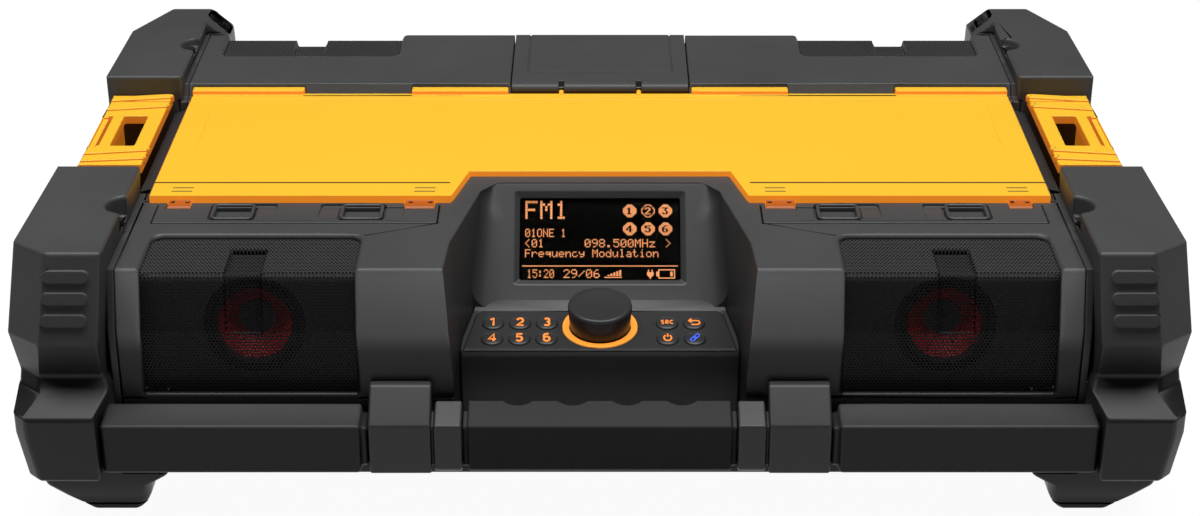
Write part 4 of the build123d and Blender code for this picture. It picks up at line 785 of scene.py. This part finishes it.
rib_places = ((60.2, 66.0, 6.4), (44.6, 50.4, 6.4), (-28.2, -22.8, 6.2), (-39.6, -35.6, 5.6))
for side, node in ((-1, "left_side_latch"), (1, "right_side_latch")):
    clip = merged_copy(node, node + "_moulding")
    slot = slab("slot_cutter", rounded_rectangle(2.0, 24.2, 0.6), 0.0, 8.0)
    cut_away(clip, placed(slot, (side * 316.4, 9.6, 158.8)))
    soften(clip, 1.0)
    ribs = [clip_rib(side, *rib) for rib in rib_places]
    clip = finish(clip, yellow, node=node)
    ribs = finish(join(ribs, node + "_ribs"), yellow, body=body_at(node))
    for piece in (clip, ribs):
        paint_yellow_and_shade(piece, 159.1, clip_orange)
print("clips: 2, with ribs:", len(ribs.data.polygons))

# %% [markdown]
# ## Gutters
# Between the lid and each clip the case has a narrow gutter that falls away outwards.

# %% Gutters
for side in (-1, 1):
    gutter = slab("gutter", rounded_rectangle(5.3, 64.0, 0.4), -1.2, 0.0)
    gutter.location = (side * 274.6 * mm, 8.6 * mm, 149.2 * mm)
    gutter.rotation_euler = (0.0, side * radians(14.0), 0.0)
    settle(gutter)
    soften(gutter, 0.4)
    finish(gutter, rubber, body="case")
print("gutters: 2")

# %% [markdown]
# ## The lid
# The lid has a panel line pressed into its skin: a shallow groove that runs round three sides and
# fades out towards the front. Two short dashes mark each hinge. A thin bar that follows
# each line is sunk into the skin and taken away from it with a Boolean. The faces it cuts, the
# two grooves across the lid and the pin holes in the hinge tabs are painted dark brown as painted
# shade.


# %% A line cut into a skin
# The lid's lines and holes are painted dark brown as painted shade.
shade_slot = 3                  # the lid's slot for the colour of its lines and holes
pin_hole_x, pin_hole_y = (101.0, 112.6, 245.4, 254.2), -87.0
groove_y = (-65.5, 77.5)


def cutter(name, points, radius, height):
    """A round bar along these points, at this height, that paints shade on what it cuts."""
    bar = rod(name, [points], radius, height)
    paint(bar, *[None] * (shade_slot + 1))
    for face in bar.data.polygons:
        face.material_index = shade_slot
    return bar


def in_pin_hole(x, y):
    """Whether a place is in one of the small pin holes in the hinge tabs."""
    return any(hypot(abs(x) - hole_x, y - pin_hole_y) < 1.3 for hole_x in pin_hole_x)


# %% The lid
lid_top = 158.0
lid = merged_copy("lid", "lid_moulding")
for side in (-1, 1):
    lug = slab("lug_cutter", rounded_rectangle(8.0, 6.0, 1.0), 0.0, 6.0)
    cut_away(lid, placed(lug, (side * 25.6, 90.4, 158.4)))
    for x in pin_hole_x:
        hole = slab("pin_cutter", rounded_rectangle(1.2, 1.2, 1.15, steps=3), 0.0, 4.0)
        cut_away(lid, placed(hole, (side * x, pin_hole_y, 151.6)))
soften(lid, 0.8)
panel_line = [
    (251.5, -15.0), (252.7, 50.0), (251.8, 58.0), (248.5, 65.0), (242.0, 69.5), (232.0, 71.0),
]
panel_line += [(-x, y) for x, y in reversed(panel_line)]
cut_away(lid, cutter("panel_cutter", panel_line, 0.9, lid_top + 0.55))
paint_yellow_and_shade(lid, lid_top, lip_orange)
lid.data.materials.append(seam_brown)
for side in (-1, 1):
    for x in (243.6, 98.6):
        for y in (-73.3, -78.5):
            dash_line = [(side * x, y), (side * (x + 12.4), y)]
            cut_away(lid, cutter("dash_cutter", dash_line, 0.7, lid_top + 0.15))
# Painted shade: faces in the two grooves across the lid and in the pin holes get the dark brown.
for face in lid.data.polygons:
    x, y, z = face.center / mm
    in_line = any(abs(y - line_y) < 1.0 for line_y in groove_y)
    if 156.0 < z < lid_top - 0.005 and in_line or in_pin_hole(x, y):
        face.material_index = shade_slot
smooth(lid)
stand_for(lid, "lid")
print("lid faces:", len(lid.data.polygons))

# %% [markdown]
# ## The speaker grilles
# Each grille is one pressed sheet of steel with hexagonal holes. One cell is drawn as a hexagon
# with a smaller hexagon taken out of it, an Array repeats it in rows, and the flat sheet is then
# folded over the case edge and pressed down along one channel, as the real blank is in its press.

# %% One cell and the flat blank
hole_pitch = 2.1
hole_bar = 0.62
cell_radius = hole_pitch / sqrt(3.0)


def flat_blank(width, length):
    """A flat perforated sheet from (0, 0) to (width, length), in millimetres."""
    bpy.ops.mesh.primitive_circle_add(vertices=6, radius=cell_radius * mm, fill_type="NGON")
    blank = bpy.context.object
    with editing(blank):
        bpy.ops.mesh.inset(thickness=hole_bar / 2.0 * mm)
        bpy.ops.mesh.delete(type="FACE")
    across = int(width / hole_pitch) + 2
    along = int(length / (3.0 * cell_radius)) + 2
    for count, step in (
        (2, (hole_pitch / 2.0, 1.5 * cell_radius)),
        (across, (hole_pitch, 0.0)),
        (along, (0.0, 3.0 * cell_radius)),
    ):
        apply_modifier(
            blank, "ARRAY", count=count, use_relative_offset=False, use_constant_offset=True,
            constant_offset_displace=(step[0] * mm, step[1] * mm, 0.0),
        )
    with editing(blank):
        bpy.ops.mesh.remove_doubles(threshold=0.01 * mm)
        for corner, facing in (
            ((0, 0, 0), (-1, 0, 0)), ((0, 0, 0), (0, -1, 0)),
            ((width * mm, 0, 0), (1, 0, 0)), ((0, length * mm, 0), (0, 1, 0)),
        ):
            bpy.ops.mesh.select_all(action="SELECT")
            bpy.ops.mesh.bisect(plane_co=corner, plane_no=facing, clear_outer=True)
    return blank


# %% [markdown]
# The fold is a line of corners in side view, and the channel follows a second line sunk below the
# first. A point of the blank goes to its place along the first line, and is drawn towards the
# second where it lies in the channel.


# %% Fold and press the blank
def sunk_line(corners, side, depth):
    """Corners of the line that runs this depth under a line of corners."""
    ways = []
    for (y0, z0), (y1, z1) in zip(corners, corners[1:]):
        run = hypot(y1 - y0, z1 - z0)
        ways.append((-side * (z1 - z0) / run, side * (y1 - y0) / run))
    ways = [ways[0], *ways, ways[-1]]
    sunk = []
    for (y, z), (ay, az), (by, bz) in zip(corners, ways, ways[1:]):
        share = depth / (1.0 + ay * by + az * bz)
        sunk.append((y + share * (ay + by), z + share * (az + bz)))
    return sunk


def along_line(corners, run_lengths, distance):
    """The place on a line of corners at this distance, by the first line's lengths."""
    for i, run in enumerate(run_lengths):
        if distance <= run or i == len(run_lengths) - 1:
            part = distance / run
            (y0, z0), (y1, z1) = corners[i], corners[i + 1]
            return y0 + part * (y1 - y0), z0 + part * (z1 - z0)
        distance -= run


def ramp(value, start, end):
    """Rise smoothly from 0 at start to 1 at end."""
    t = min(1.0, max(0.0, (value - start) / (end - start)))
    return t * t * (3.0 - 2.0 * t)


channel_x, channel_half, channel_depth, channel_lean = 200.5, 11.0, 3.4, 1.6
sheet_inset, sheet_thick = 3.3, 0.6
grille_x = (134.7, 260.8)


def press_grille(name, side, fold, channel_low_z, channel_top_y):
    """A grille pressed from a flat blank; side is -1 at the front and 1 at the rear."""
    outer = sunk_line(fold, side, sheet_inset)
    inner = sunk_line(fold, side, sheet_inset + channel_depth)
    runs = [hypot(b[0] - a[0], b[1] - a[1]) for a, b in zip(outer, outer[1:])]
    sheet = flat_blank(grille_x[1] - grille_x[0], sum(runs))
    sheet.name = name
    for vertex in sheet.data.vertices:
        x = grille_x[0] + vertex.co.x / mm
        high = along_line(outer, runs, vertex.co.y / mm)
        low = along_line(inner, runs, vertex.co.y / mm)
        reach = abs(x - channel_x)
        press = 1.0 - ramp(reach, channel_half - channel_lean, channel_half)
        press *= ramp(high[1], channel_low_z, channel_low_z + channel_lean)
        press *= ramp(side * high[0], side * channel_top_y, side * channel_top_y + channel_lean)
        y = high[0] + press * (low[0] - high[0])
        z = high[1] + press * (low[1] - high[1])
        vertex.co = (x * mm, y * mm, z * mm)
    if side > 0:
        with editing(sheet):
            bpy.ops.mesh.flip_normals()
    apply_modifier(sheet, "SOLIDIFY", thickness=sheet_thick * mm, offset=-1.0)
    paint(sheet, mesh_paint)
    return sheet


grilles = {
    "front_right_grille": press_grille("front_right_mesh", -1, front_fold, 117.0, -146.0),
    "rear_right_grille": press_grille("rear_right_mesh", 1, rear_fold, 117.0, 151.0),
}
print("grille faces:", [len(sheet.data.polygons) for sheet in grilles.values()])


# %% Mirror the left grilles
def mirrored(piece, name):
    """A mirror image of a piece across the radio, with its own mesh turned right side out."""
    twin = linked(name, piece.data.copy())
    twin.scale = (-1.0, 1.0, 1.0)
    settle(twin)
    with editing(twin):
        bpy.ops.mesh.flip_normals()
    return twin


for node in ("front_right_grille", "rear_right_grille"):
    left = node.replace("right", "left")
    grilles[left] = mirrored(grilles[node], grilles[node].name.replace("right", "left"))
for node, sheet in grilles.items():
    stand_for(sheet, node)
print("grilles:", len(grilles))

# %% [markdown]
# ## Working on the sloping faces
# The display and the keypad lie on slopes. A matrix turns a place in millimetres on such a face
# (across, up the slope, out of it) into a place on the radio.


# %% Two sloping planes
def slope_plane(origin, degrees_up):
    """Matrix of a plane across the radio that leans back by this slope."""
    lean = radians(degrees_up)
    across, up, out = (1, 0, 0), (0, cos(lean), sin(lean)), (0, -sin(lean), cos(lean))
    turn = Matrix((across, up, out)).transposed().to_4x4()
    return Matrix.Translation(Vector(origin) * mm) @ turn


display_top, display_slope = (-61.0, 155.0), 48.0
display_plane = slope_plane((0.0, *display_top), display_slope)
keypad_plane = slope_plane((0.0, -115.5, 96.7), 7.0)


def lay(piece, plane, place):
    """Put a piece drawn at the origin onto a plane, at this place in millimetres."""
    only(piece)
    piece.matrix_world = plane @ Matrix.Translation(Vector(place) * mm)
    settle(piece)


print("display faces", [round(v, 2) for v in display_plane.col[2][:3]])

# %% [markdown]
# ## The display
# The display is a matrix of small square dots that glow amber on black. The letters are drawn as a
# real one draws them: each letter is five columns of seven dots, kept here as one pair of digits
# per column, with the top dot as the lowest bit.

# %% Letters of the dot matrix
dot_letters = {
    "0": "3E5149453E", "1": "00427F4000", "2": "4261514946", "3": "2141454B31",
    "4": "1814127F10", "5": "2745454539", "6": "3C4A494930", "8": "3649494936",
    "9": "064949291E", ":": "0036360000", ".": "0060600000", "/": "2010080402",
    "<": "0814224100", ">": "0041221408", "E": "7F49494941", "F": "7F09090901",
    "H": "7F0808087F", "M": "7F020C027F", "N": "7F0408107F", "O": "3E4141413E",
    "c": "3844444420", "d": "384444487F", "e": "3854545418", "l": "00417F4000",
    "n": "7C08040478", "o": "3844444438", "q": "081414187C", "r": "7C08040408",
    "t": "043F444020", "u": "3C4040207C", "y": "0C5050503C", "z": "4464544C44",
    "a": "2054545478", "i": "00447D4000", " ": "0000000000",
}
dot_gap = 0.14


def dot(x, y, wide, high):
    """One dot: a rectangle that leaves a gap to its neighbours."""
    return (x, y, x + wide * (1 - dot_gap), y + high * (1 - dot_gap))


def written(words, left, top, wide, high):
    """Dots of some words: rectangles from the display's left and top edge, in millimetres."""
    dots = []
    for place, letter in enumerate(words):
        for column, bits in enumerate(bytes.fromhex(dot_letters[letter])):
            x = left + (6 * place + column) * wide
            dots += [dot(x, top + row * high, wide, high) for row in range(7) if bits >> row & 1]
    return dots


def preset_disc(digit, left, top, size, ring_only):
    """A filled disc of dots with its digit left dark, or a ring with its digit lit."""
    dots, middle = [], 6
    bits = bytes.fromhex(dot_letters[digit])
    for column in range(2 * middle + 1):
        for row in range(2 * middle + 1):
            far = hypot(column - middle, row - middle)
            strokes = [bits[c] for c in (column - 3, column - 4) if 0 <= c < 5]
            in_digit = 3 <= row < 10 and any(stroke >> (row - 3) & 1 for stroke in strokes)
            in_disc = far < 6.4 and (far > 5.3 or not ring_only)
            if in_disc and not in_digit or in_digit and ring_only:
                dots.append(dot(left + column * size, top + row * size, size, size))
    return dots


print("letters:", len(dot_letters))

# %% What the display shows
screen = []
for words, left, top, wide, high in (
    ("FM1", 3.3, 1.0, 1.5, 1.66), ("01ONE 1", 3.3, 18.7, 0.6, 0.75),
    ("<01", 3.3, 25.2, 0.66, 0.75), ("098.500MHz", 39.2, 25.2, 0.72, 0.75),
    (">", 87.4, 25.2, 0.72, 0.75), ("Frequency Modulation", 3.3, 31.6, 0.675, 0.72),
):
    screen += written(words, left, top, wide, high)
for i in range(6):
    x, y = (66.4, 77.5, 88.0)[i % 3], (7.4, 18.8)[i // 3]
    screen += preset_disc(str(i + 1), x - 4.1, y - 4.1, 0.63, ring_only=i == 1)
screen.append((1.6, 41.8, 95.2, 42.35))
screen += written("15:20", 4.6, 44.2, 0.56, 0.78)
screen += written("29/06", 26.5, 44.2, 0.75, 0.78)
for bar in range(6):
    screen.append((51.2 + 1.75 * bar, 48.4 - 0.75 * bar, 52.4 + 1.75 * bar, 48.4))
screen.append((51.0, 48.9, 61.6, 49.5))
screen += [
    (77.2, 44.4, 77.9, 46.0), (79.3, 44.4, 80.0, 46.0), (76.6, 46.0, 80.6, 48.0),
    (77.4, 48.0, 79.8, 48.9), (78.2, 48.9, 79.0, 50.0), (84.0, 44.2, 93.4, 44.8),
    (84.0, 49.3, 93.4, 49.9), (92.8, 44.8, 93.4, 49.3), (83.4, 44.2, 84.0, 49.9),
    (82.2, 45.6, 83.4, 48.5), (90.6, 45.6, 92.0, 48.5),
]
print("lit dots:", len(screen))

# %% [markdown]
# All dots are one mesh of thin pads. Each pad is an upright box a tenth of a millimetre thick,
# made straight from its corners, because two thousand operator calls would take minutes.


# %% Lay the dots on the display
def pads(name, rectangles, thick, material):
    """One mesh of thin boxes over these rectangles, in millimetres, y measured downwards."""
    corners, faces = [], []
    for left, top, right, low in rectangles:
        start = len(corners)
        for z in (0.0, thick):
            for x, y in ((left, low), (right, low), (right, top), (left, top)):
                corners.append((x * mm, -y * mm, z * mm))
        a, b = start, start + 4
        faces.append((a + 3, a + 2, a + 1, a))
        faces.append((b, b + 1, b + 2, b + 3))
        for i in range(4):
            j = (i + 1) % 4
            faces.append((a + i, a + j, b + j, b + i))
    piece = mesh_piece(name, corners, faces)
    paint(piece, material)
    return piece


window_left, window_top = -48.4, -8.2
dots = pads("display_dots", screen, 0.1, amber_pixel)
lay(dots, display_plane, (window_left, window_top, -4.78))
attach(dots, "case")
print("display faces:", len(dots.data.polygons))

# %% [markdown]
# ## Coves beside the display
# The display's slope runs into the cheeks on either side in a wide hollow curve. Each cove is a
# strip between a rail on the slope and a rail on the cheek, bent towards the line where they meet.

# %% Coves
cheek_plan = [(-58.0, 62.5), (-71.5, 72.7), (-143.6, 87.0)]
keypad_back_y = -113.0


def cheek_x(y, z):
    """How far out the cheek stands at this depth and height."""
    (y0, x0), (y1, x1) = cheek_plan[:2] if y > cheek_plan[1][0] else cheek_plan[1:]
    plan_x = x0 + (x1 - x0) * (y - y0) / (y1 - y0)
    return plan_x - 6.2 + 7.8 * (z - 92.0) / 91.0


def cove(name, side, reach, steps=8, slices=18):
    """A hollow strip from the display's slope to the cheek on one side."""
    rows = []
    for i in range(slices + 1):
        y = display_top[0] - 0.4 + (keypad_back_y - display_top[0]) * i / slices
        z = display_top[1] + (y - display_top[0]) * tan(radians(display_slope))
        rise = min(reach, display_top[1] - z - 0.2)
        corner = Vector((cheek_x(y, z), y, z))
        on_slope = Vector((corner.x - rise, y, z))
        on_cheek = Vector((cheek_x(y, z + rise), y, z + rise))
        row = [corner + Vector((0.3, 0.0, -0.3))]
        for step in range(steps + 1):
            t = step / steps
            row.append(on_slope * (1 - t) ** 2 + corner * 2 * t * (1 - t) + on_cheek * t ** 2)
        rows.append([(side * p.x * mm, p.y * mm, p.z * mm) for p in row])
    size = steps + 2
    faces = [tuple(range(size)), tuple(range(len(rows) * size - 1, (len(rows) - 1) * size - 1, -1))]
    for i in range(len(rows) - 1):
        for j in range(size):
            a, b = i * size + j, i * size + (j + 1) % size
            faces.append((a, a + size, b + size, b))
    piece = mesh_piece(name, [p for row in rows for p in row], faces)
    with editing(piece):
        bpy.ops.mesh.normals_make_consistent(inside=False)
    return piece


for side in (-1, 1):
    finish(cove("display_cove", side, 15.0), charcoal_dark, body="case")
print("coves: 2")

# %% [markdown]
# ## Key caps
# Each key has a softly domed cap that comes close to the plate all round. One cap is a profile
# turned round its axis; ten copies with their own meshes stand for the ten keys.


# %% Turned shapes and the caps
def turned(name, profile, steps=32):
    """A shape turned round the upright axis from a profile of (radius, height)."""
    edges = [(i, i + 1) for i in range(len(profile) - 1)]
    piece = mesh_piece(name, [(r * mm, 0.0, z * mm) for r, z in profile], [], edges)
    apply_modifier(
        piece, "SCREW", steps=steps, render_steps=steps, use_merge_vertices=True,
        merge_threshold=0.001 * mm,
    )
    with editing(piece):
        bpy.ops.mesh.remove_doubles(threshold=0.001 * mm)
        bpy.ops.mesh.normals_make_consistent(inside=False)
    return piece


key_x = (-63.0, -47.1, -31.2, 39.5, 55.4)
key_y = (-13.6, -29.7)
key_places = {f"preset_key_{i + 1}": (key_x[i % 3], key_y[i // 3]) for i in range(6)}
for i, node in enumerate(("source_key", "return_key", "power_key", "pairing_key")):
    key_places[node] = (key_x[3 + i % 2], key_y[i // 2])
cap_profile = [
    (0.0, -1.5), (6.1, -1.5), (6.38, -0.2), (6.2, 0.25), (5.6, 0.7), (4.6, 1.0), (3.0, 1.2),
    (0.0, 1.28),
]
for node, (x, y) in key_places.items():
    cap = turned(node + "_cap", cap_profile)
    lay(cap, keypad_plane, (x, y, 0.0))
    finish(cap, keypad_black, node=node)
print("caps:", len(key_places))

# %% [markdown]
# ## Key legends
# The legends are printed on the keys and lit from behind. They are heavy block figures, drawn here
# as curves of even width, and drawn tall, because the keypad is looked at from low in front.


# %% Strokes
legend_tall, legend_thick = 1.35, 0.15


def stroke(name, runs, width):
    """Flat strokes of even width along these runs of points, in millimetres."""
    piece = rod(name, runs, width / 2.0)
    piece.scale = (1.0, legend_tall, legend_thick)
    settle(piece)
    return piece


def arc(x, y, radius, start, end, steps=14):
    """Points of an arc, angles in degrees."""
    turn = [radians(start + (end - start) * i / steps) for i in range(steps + 1)]
    return [(x + radius * cos(a), y + radius * sin(a)) for a in turn]


figures = [
    [[(-1.7, 1.7), (0.3, 2.7), (0.3, -2.7)]],
    [[*arc(0, 1.1, 1.7, 170, -40, 8), (-1.9, -2.6), (2.1, -2.6)]],
    [arc(-0.1, 1.3, 1.4, 150, -90, 8), arc(-0.1, -1.2, 1.5, 90, -150, 8)],
    [[(1.0, -2.8), (1.0, 2.6), (-2.1, -1.2), (2.3, -1.2)]],
    [[(1.7, 2.6), (-1.3, 2.6), (-1.5, 0.3), *arc(0, -1.0, 1.7, 100, -150, 8)]],
    [[*arc(0.2, 1.0, 1.8, 60, 180, 6), (-1.6, -1.0), *arc(0.1, -1.0, 1.7, 180, -180, 14)]],
]
letter_s = [*arc(0, 0.65, 0.65, 30, 270, 8), *arc(0, -0.65, 0.65, 90, -150, 8)]
letter_r = [(-0.65, -1.3), (-0.65, 1.3), (0.0, 1.3), *arc(0, 0.65, 0.65, 90, -90, 6), (-0.2, 0.0)]
letter_c = arc(0.1, 0, 1.0, 50, 310, 10)
source_mark = [[(x - 2.6, y) for x, y in letter_s], letter_r, [(-0.1, 0.0), (0.8, -1.3)]]
source_mark.append([(x + 2.7, y * 1.25) for x, y in letter_c])
back_arrow = [
    [(-1.4, 2.5), (-3.2, 1.0), (-1.4, -0.5)],
    [(-3.0, 1.0), (1.8, 1.0), *arc(1.8, -0.5, 1.5, 90, -90, 8), (-1.6, -2.0)],
]
power_mark = [arc(0, -0.2, 2.2, 125, 415), [(0, 0.4), (0, 2.8)]]
link_mark = []
for x in (-1.0, 1.0):
    loop = [*arc(x + 0.6, x + 0.6, 1.05, -45, 135, 8), *arc(x - 0.6, x - 0.6, 1.05, 135, 315, 8)]
    link_mark.append([*loop, loop[0]])
marks = {f"preset_key_{number + 1}": (figure, 1.35) for number, figure in enumerate(figures)}
marks |= {
    "source_key": (source_mark, 0.7), "return_key": (back_arrow, 1.0),
    "power_key": (power_mark, 1.0), "pairing_key": (link_mark, 0.6),
}
for node, (runs, width) in marks.items():
    name = node if node.startswith("preset") else node.replace("_key", "")
    legend = stroke(name + "_legend", runs, width)
    lay(legend, keypad_plane, (*key_places[node], cap_profile[-1][1] - 0.02))
    paint(legend, blue_lit if node == "pairing_key" else amber_lit)
    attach(legend, body_at(node))
print("legends:", len(marks))

# %% [markdown]
# ## Floor and light
# A pale floor and one large soft lamp overhead, a little behind the radio, light the tops more than
# the fronts. A weak lamp in front keeps the fronts from going black.
#
# The floor is pale for the eye and for reflections, through the Light Path node, but it throws back
# only a little light, so that the fronts of the radio stay darker than its tops.

# %% Floor
bpy.ops.mesh.primitive_plane_add(size=14.0, location=(0.0, 3.0, -0.0005))
floor = bpy.context.object
floor.name = "floor"
floor_paint, floor_tree, floor_shader = blank_material("floor_paint")
rays = floor_tree.nodes.new("ShaderNodeLightPath").outputs
seen = rays["Is Camera Ray"]
for more in ("Is Transmission Ray", "Is Glossy Ray"):
    seen = add_node(floor_tree, "Math", {0: seen, 1: rays[more]}, "MAXIMUM").outputs["Value"]
glow = add_node(floor_tree, "Math", {0: seen, 1: 0.95}, "MULTIPLY")
fill(floor_tree, floor_shader, {
    "Base Color": (0.07, 0.07, 0.07, 1.0), "Roughness": 0.9,
    "Emission Color": (1.0, 1.0, 1.0, 1.0), "Emission Strength": glow.outputs["Value"],
})
paint(floor, floor_paint)
print("floor laid")


# %% Lamps and world
def soft_lamp(name, place, target, size, power):
    """A broad lamp that looks from one place towards another."""
    lamp_data = bpy.data.lights.new(name, "AREA")
    lamp_data.shape = "RECTANGLE"
    lamp_data.size, lamp_data.size_y = size
    lamp_data.energy = power
    lamp = linked(name, lamp_data)
    lamp.location = place
    lamp.rotation_euler = (Vector(target) - Vector(place)).to_track_quat("-Z", "Y").to_euler()


soft_lamp("overhead", (0.0, -0.25, 2.2), (0.0, -0.1, 0.1), (2.4, 0.8), 62.0)
soft_lamp("front_fill", (0.0, -2.4, 1.4), (0.0, 0.0, 0.1), (2.4, 0.8), 0.3)
world = bpy.data.worlds.new("studio")
bpy.context.scene.world = world
world.use_nodes = True
sky = world.node_tree
fill(sky, sky.nodes["Background"], {"Color": (1.0, 1.0, 1.0, 1.0), "Strength": 0.04})
bpy.context.scene.view_settings.view_transform = "Standard"
print("lamps set")
